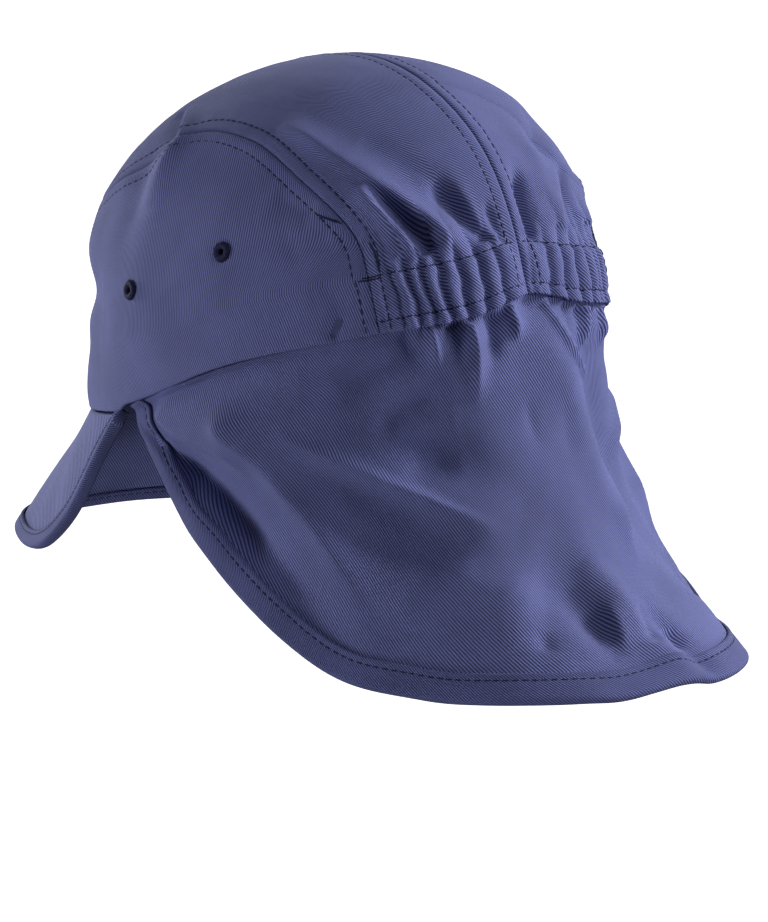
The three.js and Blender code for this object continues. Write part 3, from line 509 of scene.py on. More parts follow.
def front_place(a, b):
    rear = SIDE_SEAM_ANGLE - HALF_SEAM
    y = np.clip((b - FRONT_BAND) / (1 - FRONT_BAND), 0, 1)

    def polar(u, v):
        return np.degrees(np.arctan2(u, -v)), np.hypot(u, v)

    def bottom(x):
        return x * rear, np.full(np.shape(x), CASING_RHO)

    def top(x):
        return polar(*seam_edge(1 - x * (1 - NOTCH_AT), SEAM_SLIT / 2))

    def left(t):
        return np.zeros(np.shape(t)), mix(CASING_RHO, top(0.0)[1], t)

    def right(t):
        angle, rho = polar(*seam_edge(t * NOTCH_AT, SEAM_SLIT / 2))
        return np.where(t <= 0, rear, angle), np.where(t <= 0, CASING_RHO, rho)

    u, v = disk_of(*patch(bottom, top, left, right, a, y))
    bu, bv = disk_of(a * rear, mix(1, CASING_RHO, np.clip(b / FRONT_BAND, 0, 1)))
    return np.where(b <= FRONT_BAND, bu, u), np.where(b <= FRONT_BAND, bv, v)


def rear_place(q, b):
    y = np.clip((b - REAR_BAND) / (1 - REAR_BAND), 0, 1)
    inner = math.radians(HALF_SEAM) * CASING_RHO
    front = seam_edge(1.0, -SEAM_SLIT / 2)[1]

    def rim(x):
        return mix(180 - HALF_SEAM, SIDE_SEAM_ANGLE + HALF_SEAM, x)

    def bottom(x):
        return disk_of(rim(x), CASING_RHO)

    def left(t):
        return np.full(np.shape(t), inner), mix(bottom(0.0)[1], front, t)

    def top(x):
        u, v = seam_edge(mix(1, REAR_CORNER_AT, x), -SEAM_SLIT / 2)
        return np.where(x <= 0, inner, u), np.where(x <= 0, front, v)

    def right(t):
        u, v = seam_edge(t * REAR_CORNER_AT, -SEAM_SLIT / 2)
        end = bottom(1.0)
        return np.where(t <= 0, end[0], u), np.where(t <= 0, end[1], v)

    u, v = patch(bottom, top, left, right, q, y)
    bu, bv = disk_of(rim(q), mix(1, CASING_RHO, np.clip(b / REAR_BAND, 0, 1)))
    return np.where(b <= REAR_BAND, bu, np.maximum(u, inner)), np.where(b <= REAR_BAND, bv, v)


# Peak

def rim_point(angle):
    return smooth_crown(*disk_of(angle, 1.0))


def rim_outward(angle):
    along = rim_point(angle + SMALL) - rim_point(angle - SMALL)
    along = unit(along * np.array([1, 1, 0]))
    out = np.stack([along[..., 1], -along[..., 0], np.zeros(np.shape(along[..., 0]))], -1)
    inward = np.sum(out * rim_point(angle) * np.array([1, 1, 0]), -1, keepdims=True) < 0
    return np.where(inward, -out, out)


peak_across = column(PEAK_EDGE, 1, -1)
peak_ahead = column(PEAK_EDGE, 2, 1)
peak_fall = column(PEAK_EDGE, 3, 1)


def peak_surface(side, out):
    side, out = np.broadcast_arrays(np.asarray(side, float), np.asarray(out, float))
    corner = rim_point(np.array(float(PEAK_CORNER_ANGLE)))
    at = np.abs(side)
    edge = np.stack([
        np.sign(side) * peak_across(at) * corner[0],
        corner[1] - peak_ahead(at) * PEAK_AHEAD,
        corner[2] - peak_fall(at) * PEAK_DROP,
    ], -1)
    angle = side * PEAK_CORNER_ANGLE
    seat = rim_point(angle) - rim_outward(angle) * CLOTH
    seat[..., 2] -= PEAK_THICKNESS / 2 + SEAM_GAP + (BINDING_CLOTH + 2 * GAP) * at ** PEAK_CORNER_SINK
    point = mix(seat, edge, out[..., None])
    point[..., 2] += PEAK_CAMBER * 4 * out * (1 - out) * np.cos(np.radians(side * 90))
    return point


PEAK_BELOW = np.array([0, -RIM_FRONT_REACH, -10 * CROWN_HEIGHT])


def peak_offset(side, out, offset):
    inside = np.clip(out, SMALL, 1 - SMALL)
    normal = normal_of(peak_surface, side, inside, SMALL / 2, PEAK_BELOW)
    return peak_surface(side, out) + normal * np.asarray(offset)[..., None]


def peak_share(side, width):
    return 1 - width / np.linalg.norm(peak_surface(side, 0.0) - peak_surface(side, 1.0), axis=-1)


# Flap

hem_length = column(FLAP_HEM, 1, 1)
hem_flare = column(FLAP_HEM, 2, 1)
hem_hug = column(FLAP_HEM, 3, 1)
hem_swing = column(FLAP_HEM, 4, -1)


def smooth_flap(angle, down):
    back = np.abs(180 - angle)
    side = np.where(np.asarray(angle) <= 180, 1, -1)
    hang = np.maximum(0, down)
    hug = np.sin(np.pi * np.minimum(1, hang / FLAP_HUG_END)) ** FLAP_HUG_POWER
    flare = FLAP_FLARE * hem_flare(back) * hang ** FLAP_FLARE_POWER
    out = flare - FLAP_HUG * hem_hug(back) * hug - CLOTH - GAP
    outward = rim_outward(angle)
    backward = np.stack([-side * outward[..., 1], side * outward[..., 0], 0 * outward[..., 0]], -1)
    rim = rim_point(angle)
    swing = FLAP_SWING * hem_swing(back) * hang ** FLAP_SWING_POWER
    point = rim + outward * out[..., None] + backward * swing[..., None]
    point[..., 2] = rim[..., 2] - FLAP_LENGTH * hem_length(back) * down
    return point


DEGREE = math.radians(1) * (RIM_HALF_WIDTH + RIM_BACK_REACH) / 2 / FLAP_LENGTH


def flap_flat(angle, down):
    """Rough flat coordinates on the flap, in mm."""
    return np.stack([angle * DEGREE * FLAP_LENGTH, down * FLAP_LENGTH * hem_length(np.abs(180 - angle))], -1)


def flap_relief(angle, down):
    folds = sum(d * fold_share(angle * DEGREE, down, a * DEGREE, b, c * DEGREE, e, w)
                for a, b, c, e, w, d in FLAP_FOLDS)
    flat = flap_flat(angle, down)
    low = flat[..., 1]
    gathers = gather_pillows(angle, -low) * bell(low, 0, FLAP_PLEAT_FADE)
    start = smoothstep(0, CASING_HEIGHT, low)
    soft = 0.55 * rough(flat[..., 0], low, 21, 6) + 0.16 * rough(flat[..., 0], low, 8, 2)
    sharp = FLAP_CREASE * creases(FLAP_CREASES, (1, 1000), flap_flat, angle, down)
    sharp = sharp - RIM_SHADOW * smoothstep(0, 2.5, low) * np.exp(-(np.maximum(0, low - 2.5) / 4) ** 2)
    return FLAP_FOLD_DEPTH * start * folds + GATHER_DEPTH * gathers + start * soft + sharp


def flap_point(angle, down, depth):
    """Point of the flap moved in by a depth; where down is negative it lies inside the crown's band."""
    angle, down, depth = np.broadcast_arrays(*(np.asarray(x, float) for x in (angle, down, depth)))
    rho = mix(1, TUCK_RHO, np.clip(-down, 0, 1))
    u, v = disk_of(angle, rho)
    ridges = GATHER_DEPTH * gather_pillows(angle, 0 * angle)
    tuck = smooth_crown(u, v) + crown_normal(u, v) * (ridges - CLOTH - GAP - depth)[..., None]
    safe = np.maximum(down, 2 * SMALL)
    point = smooth_flap(angle, np.maximum(down, 0))
    middle = point * np.array([0, 0, 1])
    normal = normal_of(smooth_flap, angle, safe, SMALL, middle)
    point = point + normal * (flap_relief(angle, np.maximum(down, 0)) - depth)[..., None]
    return np.where((down <= 0)[..., None], tuck, point)


fan_angle = column(FLAP_FAN, 1)


def flap_place(top, share):
    near = np.minimum(top, 360 - top)
    angle = mix(near, fan_angle(near), np.maximum(0, share))
    hem = hem_length(180 - fan_angle(near))
    down = np.maximum(0, share) * hem / np.maximum(hem_length(180 - angle), 1e-6)
    return np.where(np.asarray(top) > 180, 360 - angle, angle), np.where(np.asarray(share) < 0, share, down)


def flap_line(top, share, depth):
    return flap_point(*flap_place(top, share), depth)


def flap_share(top, width):
    hem = flap_line(top, 1.0, 0.0)
    line = flap_line(top, 0.0, 0.0) - hem
    along = unit(flap_line(top + 0.5, 1.0, 0.0) - flap_line(top - 0.5, 1.0, 0.0))
    square = np.linalg.norm(line - along * np.sum(line * along, -1, keepdims=True), axis=-1)
    return np.maximum(0, 1 - width / square)


# Materials

def fill(made, values):
    """Give a node's inputs their values, or the outputs that feed them."""
    for key, value in values.items():
        if isinstance(value, bpy.types.NodeSocket):
            made.id_data.links.new(value, made.inputs[key])
        else:
            made.inputs[key].default_value = value


def node(tree, kind, values=None, **settings):
    """New node with its settings and inputs."""
    made = tree.nodes.new(kind)
    for key, value in settings.items():
        setattr(made, key, value)
    fill(made, values or {})
    return made


def new_material(name, values):
    material = bpy.data.materials.new(name)
    material.use_nodes = True
    shader = material.node_tree.nodes["Principled BSDF"]
    fill(shader, values)
    return material, material.node_tree, shader


def noise(tree, source, scale, detail, **settings):
    values = {"Vector": source, "Scale": scale, "Detail": detail}
    return node(tree, "ShaderNodeTexNoise", values, **settings).outputs


def bumped(tree, height, strength, distance):
    values = {"Strength": strength, "Distance": distance, "Height": height}
    return node(tree, "ShaderNodeBump", values).outputs[0]


TWILL_PITCH = 0.00082
YARN_WANDER = 0.00016
NAVY_DARK = (0.004, 0.006, 0.028)
NAVY_LIGHT = (0.168, 0.188, 0.452)
BINDING_LIGHT = (0.134, 0.150, 0.376)
THREAD_COLOURS = (0.004, 0.005, 0.020), (0.020, 0.022, 0.075)


def twill(name, light, turn):
    """Cotton twill: slanting ridges of yarn over the cloth's own flat coordinates, in metres."""
    material, tree, shader = new_material(name, {
        "Roughness": 0.88, "Specular IOR Level": 0.22, "Sheen Weight": 0.08, "Sheen Roughness": 0.42,
        "Sheen Tint": (0.62, 0.66, 1.0, 1),
    })
    cloth = node(tree, "ShaderNodeUVMap", uv_map="cloth").outputs[0]

    def yarn_noise(scale, detail):
        return noise(tree, cloth, scale, detail, noise_dimensions="2D")

    def math_node(operation, *sources):
        return node(tree, "ShaderNodeMath", dict(enumerate(sources)), operation=operation).outputs[0]

    def stripes(at):
        return math_node("MULTIPLY_ADD", math_node("SINE", math_node("MULTIPLY", at, 2 * math.pi)), 0.5, 0.5)

    shift = node(tree, "ShaderNodeVectorMath", {
        0: yarn_noise(420, 2)["Color"], 1: (YARN_WANDER, YARN_WANDER, 0), 2: cloth,
    }, operation="MULTIPLY_ADD")
    turned = node(tree, "ShaderNodeMapping", {
        "Vector": shift.outputs[0], "Rotation": (0, 0, math.radians(turn)),
        "Scale": (1 / TWILL_PITCH, 1 / TWILL_PITCH, 1),
    }, vector_type="POINT")
    across, along = node(tree, "ShaderNodeSeparateXYZ", {0: turned.outputs[0]}).outputs[:2]
    slant = math_node("MULTIPLY_ADD", across, 0.5, math_node("MULTIPLY", along, 1.7))
    floats = math_node("MULTIPLY_ADD", stripes(slant), 0.25, 0.75)
    weave = math_node("MULTIPLY", math_node("POWER", stripes(across), 0.8), floats)
    fibre = yarn_noise(3200, 3)["Fac"]
    tone = math_node("MULTIPLY_ADD", weave, 0.82, math_node("MULTIPLY", fibre, 0.18))
    colour = node(tree, "ShaderNodeMix", {0: tone, 6: (*NAVY_DARK, 1), 7: (*light, 1)}, data_type="RGBA")
    fade = node(tree, "ShaderNodeMapRange", {
        "Value": yarn_noise(38, 4)["Fac"], "From Min": 0.3, "From Max": 0.7, "To Min": 0.9, "To Max": 1.1,
    }).outputs[0]
    grey = node(tree, "ShaderNodeCombineColor", {0: fade, 1: fade, 2: fade})
    worn = node(tree, "ShaderNodeMix", {0: 1, 6: colour.outputs[2], 7: grey.outputs[0]}, data_type="RGBA",
                blend_type="MULTIPLY")
    height = math_node("MULTIPLY_ADD", fibre, 0.35, weave)
    fill(shader, {"Base Color": worn.outputs[2], "Normal": bumped(tree, height, 0.8, 0.00022)})
    return material


def thread_material():
    material, tree, shader = new_material("thread", {"Roughness": 0.7, "Specular IOR Level": 0.15})
    strand = noise(tree, node(tree, "ShaderNodeTexCoord").outputs["Object"], 2400, 3)["Fac"]
    ramp = node(tree, "ShaderNodeValToRGB", {0: strand})
    for element, colour in zip(ramp.color_ramp.elements, THREAD_COLOURS):
        element.color = (*colour, 1)
    fill(shader, {"Base Color": ramp.outputs[0], "Normal": bumped(tree, strand, 0.5, 0.0001)})
    return material


FRONT_TWILL = twill("front_twill", NAVY_LIGHT, -12)
REAR_TWILL = twill("rear_twill", NAVY_LIGHT, 42)
FLAP_TWILL = twill("flap_twill", NAVY_LIGHT, -25)
PEAK_TWILL = twill("peak_twill", NAVY_LIGHT, 45)
BINDING_TWILL = twill("binding_twill", BINDING_LIGHT, 45)
THREAD = thread_material()


# Meshes

def new_object(name, data):
    made = bpy.data.objects.new(name, data)
    bpy.context.scene.collection.objects.link(made)
    return made


def finish_piece(name, positions, faces, uvs, material, solid):
    """Mesh object in metres from millimetres, in the place of its solid."""
    mesh = bpy.data.meshes.new(name)
    mesh.from_pydata((np.asarray(positions) * 0.001).tolist(), [], faces)
    mesh.polygons.foreach_set("use_smooth", [True] * len(mesh.polygons))
    if uvs is not None:
        layer = mesh.uv_layers.new(name="cloth")
        corners = np.empty(len(mesh.loops), dtype=np.int32)
        mesh.loops.foreach_get("vertex_index", corners)
        layer.data.foreach_set("uv", (np.asarray(uvs)[corners] * 0.001).astype(np.float32).ravel())
    mesh.materials.append(material)
    mesh.validate()
    mesh.update()
    piece = new_object(name, mesh)
    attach(piece, "root")
    if solid:
        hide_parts(solid)
    return piece


def cloth_faces(rows, columns, keep=None):
    """Faces of a closed sheet: outer grid, then an inner grid that shares the outer one's border."""
    outer = np.arange(rows * columns).reshape(rows, columns)
    inner = outer.copy()
    inner[1:-1, 1:-1] = rows * columns + np.arange((rows - 2) * (columns - 2)).reshape(rows - 2, columns - 2)
    faces = []
    for grid, flip in ((outer, False), (inner, True)):
        quads = np.stack([grid[:-1, :-1], grid[1:, :-1], grid[1:, 1:], grid[:-1, 1:]], -1)
        if keep is not None:
            quads = quads[keep]
        faces += quads.reshape(-1, 4)[:, ::-1 if flip else 1].tolist()
    return faces


def closed_cloth(name, base, normal, lift, uv, material, solid, thick=CLOTH, keep=None, flip=False):
    """Closed sheet with rounded borders from a grid of points, its outward directions and relief."""
    rows, columns = base.shape[:2]
    along, down = runs(base, 1), runs(base, 0)
    edge = np.minimum.reduce([along, along[:, -1:] - along, down, down[-1:] - down])
    radius = thick / 2
    t = np.clip(edge / radius, 0, 1)
    drop = radius * (1 - np.sqrt(1 - (1 - t) ** 2))
    outer = base + normal * (lift - drop)[..., None]
    inner = base + normal * (lift - thick + drop)[..., None]
    positions = np.concatenate([outer.reshape(-1, 3), inner[1:-1, 1:-1].reshape(-1, 3)])
    uvs = np.concatenate([uv.reshape(-1, 2), uv[1:-1, 1:-1].reshape(-1, 2)])
    faces = cloth_faces(rows, columns, keep)
    if flip:
        faces = [face[::-1] for face in faces]
    return finish_piece(name, positions, faces, uvs, material, solid)


# Distances in mm from a border at which a sheet has extra rows, so that its edge is round
EDGE_STOPS = [0.05, 0.17, 0.34, 0.6]


def stops(count, length):
    """Shares from 0 to 1, with extra ones close to both ends."""
    near = np.array(EDGE_STOPS) / length
    middle = np.linspace(near[-1], 1 - near[-1], count)[1:-1]
    return np.concatenate([[0], near, middle, 1 - near[::-1], [1]])


def flat_front(base, angles):
    """Flat coordinates of the front panel, in mm: along its rows, upright beside the temples."""
    rows, columns = base.shape[:2]
    middle = columns // 2
    run = runs(base, 1)
    run = run - run[:, middle:middle + 1]
    up = runs(base, 0)
    result = run.copy()
    for side in (1, -1):
        at = np.abs(angles[0] - side * 90).argmin()
        straight = run - run[:, at:at + 1] + run[0, at]
        weight = smoothstep(15, 80, side * angles)
        result = np.where(side * angles > 0, mix(run, straight, weight), result)
    return np.stack([result, up], -1)


def panel_rows(band, in_band, count, length):
    """Rows of a crown panel: close ones at the rim, even ones up the band and even ones above it."""
    rim = np.array([0, *EDGE_STOPS]) / CASING_HEIGHT * band
    up = np.linspace(CLOTH / CASING_HEIGHT * band, band, in_band)
    return np.concatenate([rim, up, band + (1 - band) * stops(count, length)[5:]])


half = np.concatenate([[0], stops(194, 222)[5:]])
front_columns = np.concatenate([-half[::-1][:-1], half])
front_rows = panel_rows(FRONT_BAND, 19, 56, 60)
A, B = np.meshgrid(front_columns, front_rows)
fu, fv = front_place(np.abs(A), B)
fu = np.sign(A) * fu
front_base, front_normal = smooth_crown(fu, fv), crown_normal(fu, fv)
front_lift = crown_lift(fu, fv, False)
corner_share = np.abs(np.degrees(np.arctan2(fu, -fv))) / PEAK_CORNER_ANGLE
peak_below = SEAM_GAP + (BINDING_CLOTH + 2 * GAP) * corner_share ** PEAK_CORNER_SINK
peak_below = peak_below * smoothstep(1.0, 0.95, corner_share) * smoothstep(6, 0, above_rim(fu, fv))
front_base = front_base - np.array([0, 0, 1]) * peak_below[..., None]
front_uv = flat_front(front_base, np.degrees(np.arctan2(fu, -fv)))

centres = [(side * u, v) for side in (1, -1) for _, u, v in EYELETS]
middle_points = (front_base[:-1, :-1] + front_base[1:, 1:]) / 2
keep = np.ones(middle_points.shape[:2], bool)
for u, v in centres:
    spot = smooth_crown(np.array(u), np.array(v))
    near_spot = np.linalg.norm(front_base - spot, axis=-1)
    front_lift = front_lift - 0.30 * np.exp(-(near_spot / 3.4) ** 4)
    keep &= np.linalg.norm(middle_points - spot, axis=-1) > EYELET_NECK_RADIUS - 0.5
closed_cloth("front_panel_cloth", front_base, front_normal, front_lift, front_uv, FRONT_TWILL, "front_panel",
             keep=keep)

rear_columns = stops(104, 60)
rear_rows = panel_rows(REAR_BAND, 26, 170, 190)
Q, R = np.meshgrid(rear_columns, rear_rows)
ru, rv = rear_place(Q, R)
for name, side in (("left", 1), ("right", -1)):
    base, normal = smooth_crown(side * ru, rv), crown_normal(side * ru, rv)
    lift = crown_lift(side * ru, rv, True)
    high = above_rim(ru, rv)
    angle = np.degrees(np.arctan2(side * ru, -rv))
    scallop = gather_pillows(angle, 0 * angle) * np.clip(1 - high / 5, 0, 1) ** 1.5
    base = base - np.array([0, 0, 1]) * (0.9 * scallop)[..., None]
    uv = np.stack([side * runs(base, 1), runs(base, 0)], -1)
    solid = f"rear_panel_{name}"
    closed_cloth(f"{solid}_cloth", base, normal, lift, uv, REAR_TWILL, solid, flip=side > 0)

# Peak
peak_sides = PEAK_END * np.sin((np.linspace(0, 1, 191) - 0.5) * np.pi)
peak_outs = np.concatenate([[0, 0.001, 0.003, 0.006], np.linspace(0.012, 1, 56)])
S, O = np.meshgrid(peak_sides, peak_outs)
reach = peak_share(S, BINDING_CLOTH + GAP)
O = np.clip(O * reach, 0, 1)
peak_base = peak_surface(S, O)
peak_normal = normal_of(peak_surface, S, np.clip(O, SMALL, 1 - SMALL), SMALL / 2, PEAK_BELOW)
peak_uv = np.stack([peak_base[..., 0], peak_base[..., 1]], -1)
peak_lift = PEAK_THICKNESS / 2 + 0.12 * rough(peak_base[..., 0], peak_base[..., 1], 16, 9)
closed_cloth("peak_cover", peak_base, peak_normal, peak_lift, peak_uv, PEAK_TWILL, "peak",
             thick=PEAK_THICKNESS)


def ring_faces(rings, order=(0, 1, 2, 3)):
    """Quads between rings of vertex numbers, with their corners in an order."""
    beside = np.roll(rings, -1, axis=-1)
    quads = [rings[..., :-1, :], beside[..., :-1, :], beside[..., 1:, :], rings[..., 1:, :]]
    return np.stack([quads[k] for k in order], -1).reshape(-1, 4).tolist()


FACING_OUT = (0, 3, 2, 1)


def binding_mesh(name, stations, core, width, share_of, point_of, stitch, solid):
    """Folded strip round an edge, with rounded shoulders and a dip under its row of stitches."""
    slot_half = core / 2 + GAP
    top = slot_half + BINDING_CLOTH
    shoulder = 1.4
    rows = [(width, slot_half + 0.25), (width - 0.12, slot_half + 0.75), (width - 0.5, top - 0.04),
            (width - 1.0, top)]
    rows += [(w, top - 0.30 * math.exp(-((w - stitch) / 0.7) ** 2))
             for w in np.linspace(width - 1.6, shoulder, 9)]
    for t in map(math.radians, (20, 40, 60, 75)):
        rows.append((shoulder * (1 - math.sin(t)), top * math.cos(t) ** 0.8))
    outside = rows + [(0.0, 0.0)] + [(w, -h) for w, h in reversed(rows)]
    slot = [(BINDING_CLOTH, slot_half), (width * 0.5, slot_half), (width, slot_half)]
    ring = outside + [(w, -h) for w, h in reversed(slot)] + [(BINDING_CLOTH, 0.0)] + slot
    shell = len(outside)
    grid = np.stack([point_of(stations, share_of(stations, w), h) for w, h in ring], 1)
    count, around = grid.shape[:2]
    run = runs(grid[:, shell // 2], 0)
    girth = runs(np.array(ring), 0)
    uv = np.stack(np.broadcast_arrays(run[:, None], girth[None, :]), -1)
    index = np.arange(count * around).reshape(count, around)
    faces = ring_faces(index, FACING_OUT) + [index[0].tolist(), index[-1][::-1].tolist()]
    positions, places = [grid.reshape(-1, 3)], [uv.reshape(-1, 2)]
    for end, before in ((0, 1), (-1, -2)):
        loop, place = grid[end, :shell], uv[end, :shell]
        middle = loop.mean(0)
        ahead = unit(middle - grid[before, :shell].mean(0))
        rings = sum(map(len, positions)) + np.arange(3 * shell).reshape(3, shell)
        for shrink, push in ((1.0, 0.0), (0.9, 0.45), (0.6, 0.8)):
            positions.append(middle + (loop - middle) * shrink + ahead * push)
            places.append(place)
        folds = ring_faces(rings) + [rings[2].tolist(), rings[0][::-1].tolist()]
        faces += [fold[::-1] for fold in folds] if end == 0 else folds
    return finish_piece(name, np.concatenate(positions), faces, np.concatenate(places), BINDING_TWILL, solid)


PEAK_STITCH = PEAK_BINDING_WIDTH - 1.7
binding_mesh("peak_edge_binding", peak_sides, PEAK_THICKNESS, PEAK_BINDING_WIDTH, peak_share, peak_offset,
             PEAK_STITCH, "peak_binding")

# Flap
first = FLAP_FAN[0][0]
tops = first + (360 - 2 * first) * stops(325, 330)
hem_shares = flap_share(tops, BINDING_CLOTH + GAP)
tuck_rows = -np.concatenate([[1, 0.993, 0.978, 0.957, 0.925], np.linspace(0.85, 0, 8)])
hang_rows = stops(108, 120)[1:]
T, W = np.meshgrid(tops, np.concatenate([tuck_rows, hang_rows]))
W = np.where(W > 0, W * np.broadcast_to(hem_shares, W.shape), W)
flap_angle, flap_down = flap_place(T, W)
flap_base = flap_point(flap_angle, flap_down, 0.0)
flap_normal = unit(np.cross(np.gradient(flap_base, axis=0), np.gradient(flap_base, axis=1)))
inward = np.sum(flap_normal * flap_base * np.array([1, 1, 0]), -1, keepdims=True) < 0
flap_normal = np.where(inward, -flap_normal, flap_normal)
turns = np.linspace(0, 360, 1441)
round_rim = np.interp(flap_angle, turns, runs(rim_point(turns), 0))
flap_uv = np.stack([round_rim, -flap_flat(flap_angle, flap_down)[..., 1]], -1)
flap = closed_cloth("neck_flap_cloth", flap_base, flap_normal, 0 * flap_down, flap_uv, FLAP_TWILL,
                    "neck_flap")


def flap_binding_point(top, share, offset):
    place = flap_line(top, share, CLOTH / 2 - offset)
    near = np.minimum(top, 360 - top)
    ceiling = rim_height(mix(near, fan_angle(near), share)) - SEAM_GAP
    place[..., 2] = np.minimum(place[..., 2], ceiling)
    return place


FLAP_STITCH = FLAP_BINDING_WIDTH - 2.4
binding_tops = first + (360 - 2 * first) * np.linspace(0, 1, 420)
binding_mesh("flap_edge_binding", binding_tops, CLOTH, FLAP_BINDING_WIDTH, flap_share, flap_binding_point,
             FLAP_STITCH, "flap_binding")


# Stitches

def along_line(points, pitch, start=1.0):
    """Even steps of a pitch along a line: middles, directions and the shares where they lie."""
    run = runs(points, 0)
    at = np.arange(start, run[-1] - start, pitch)
    middle, ahead, behind = (np.stack([np.interp(at + shift, run, points[:, k]) for k in range(3)], -1)
                             for shift in (0, 0.4, -0.4))
    return middle, unit(ahead - behind), at / run[-1]


def stitch_row(points, normals, pitch=STITCH_PITCH, length=STITCH_LENGTH, width=STITCH_WIDTH, seed=1.0):
    """Stitches along a line of surface points: short threads whose ends go down into the cloth."""
    middle, along, share = along_line(points, pitch)
    spots = np.linspace(0, 1, len(points))
    out = unit(np.stack([np.interp(share, spots, normals[:, k]) for k in range(3)], -1))
    out = unit(out - along * np.sum(out * along, -1, keepdims=True))
    across = np.cross(along, out)
    wobble = waves(np.arange(len(middle)) * 2.3, seed)
    along = unit(along + across * (0.05 * wobble)[:, None])
    sides = 6
    turns = np.arange(sides) * 2 * math.pi / sides
    rings = []
    for t, size in ((-1.0, 0.35), (-0.8, 0.85), (0.0, 1.0), (0.8, 0.85), (1.0, 0.35)):
        lift = 0.16 * (1 - t * t) - 0.10
        centre = middle + along * (t * length / 2) + out * lift
        rings.append(centre[:, None] + across[:, None] * (np.cos(turns) * size * width / 2)[None, :, None]
                     + out[:, None] * (np.sin(turns) * size * width * 0.4)[None, :, None])
    return np.stack(rings, 1)  # stitch, ring, side, xyz


def stitches_mesh(name, rows):
    blocks = np.concatenate(rows)
    index = np.arange(blocks[..., 0].size).reshape(blocks.shape[:3])
    faces = ring_faces(index) + index[:, 0, ::-1].tolist() + index[:, -1].tolist()
    return finish_piece(name, blocks.reshape(-1, 3), faces, None, THREAD, None)


def crown_row(u, v, rear):
    return crown_out(u, v, rear), crown_normal(u, v)


# Short bars of stitching beside the side seam, as lines of (u, v)
BARS = [
    [(0.5297, 0.5369), (0.5148, 0.5742), (0.4956, 0.6096)],
    [(0.5685, 0.6974), (0.5339, 0.7258), (0.4962, 0.7530)],
    [(0.4739, 0.6866), (0.4851, 0.7163), (0.5026, 0.7434)],
]
crown_rows = []
for side in (1, -1):
    for shift, rear in ((TOPSTITCH, False), (-TOPSTITCH, True)):
        at = np.linspace(0.02 if rear else 0.0, 0.999, 500)
        u, v = seam_edge(at, shift)
        u = np.maximum(u, 0.05) if rear else u
        crown_rows.append(stitch_row(*crown_row(side * u, v, rear), seed=side + shift))
        angle = SIDE_SEAM_ANGLE - math.degrees(shift / RIM_BACK_REACH)
        u, v = disk_of(angle, np.linspace(0.995, 0.895, 60))
        crown_rows.append(stitch_row(*crown_row(side * u, v, rear), seed=side + 2 * shift))
    v = np.linspace(0.985, -0.58, 500)
    step = smooth_crown(np.full(500, SMALL), v) - smooth_crown(np.zeros(500), v)
    scale = np.linalg.norm(step, axis=-1) / SMALL
    crown_rows.append(stitch_row(*crown_row(side * TOPSTITCH / scale, v, True), seed=3.0 * side))
    angles = side * np.linspace(SIDE_SEAM_ANGLE + 0.6, 179.6, 300)
    for high in (HEM_STITCH, CASING_HEIGHT):
        u, v = disk_of(angles, 1 - (1 - CASING_RHO) * high / CASING_HEIGHT)
        crown_rows.append(stitch_row(*crown_row(u, v, True), pitch=2.7, length=2.1, seed=high + side))
    for points in BARS:
        u, v = (spline(np.arange(3), coordinate)(np.linspace(0, 2, 60)) for coordinate in zip(*points))
        for shift in (-0.3, 0.3):
            row = crown_row(side * u, v + shift / RIM_BACK_REACH, True)
            crown_rows.append(stitch_row(*row, pitch=1.2, length=1.5, seed=shift))
stitches_mesh("crown_stitches", crown_rows)


def edge_stitches(name, spine, point_of, share, core, seed):
    """A row of stitches on each face of a binding."""
    rows = []
    for face in (1, -1):
        offset = face * (core / 2 + GAP + BINDING_CLOTH - 0.3)
        points, deeper = (point_of(spine, share, at) for at in (offset, offset - 0.5 * face))
        rows.append(stitch_row(points, unit(points - deeper), seed=seed + face))
    stitches_mesh(name, rows)


spine = np.linspace(first + 1.5, 358.5 - first, 900)
edge_stitches("flap_stitches", spine, flap_binding_point, flap_share(spine, FLAP_STITCH), CLOTH, 6.0)
spine = np.linspace(-0.93, 0.93, 700)
edge_stitches("peak_stitches", spine, peak_offset, peak_share(spine, PEAK_STITCH), PEAK_THICKNESS, 9.0)


# Eyelets

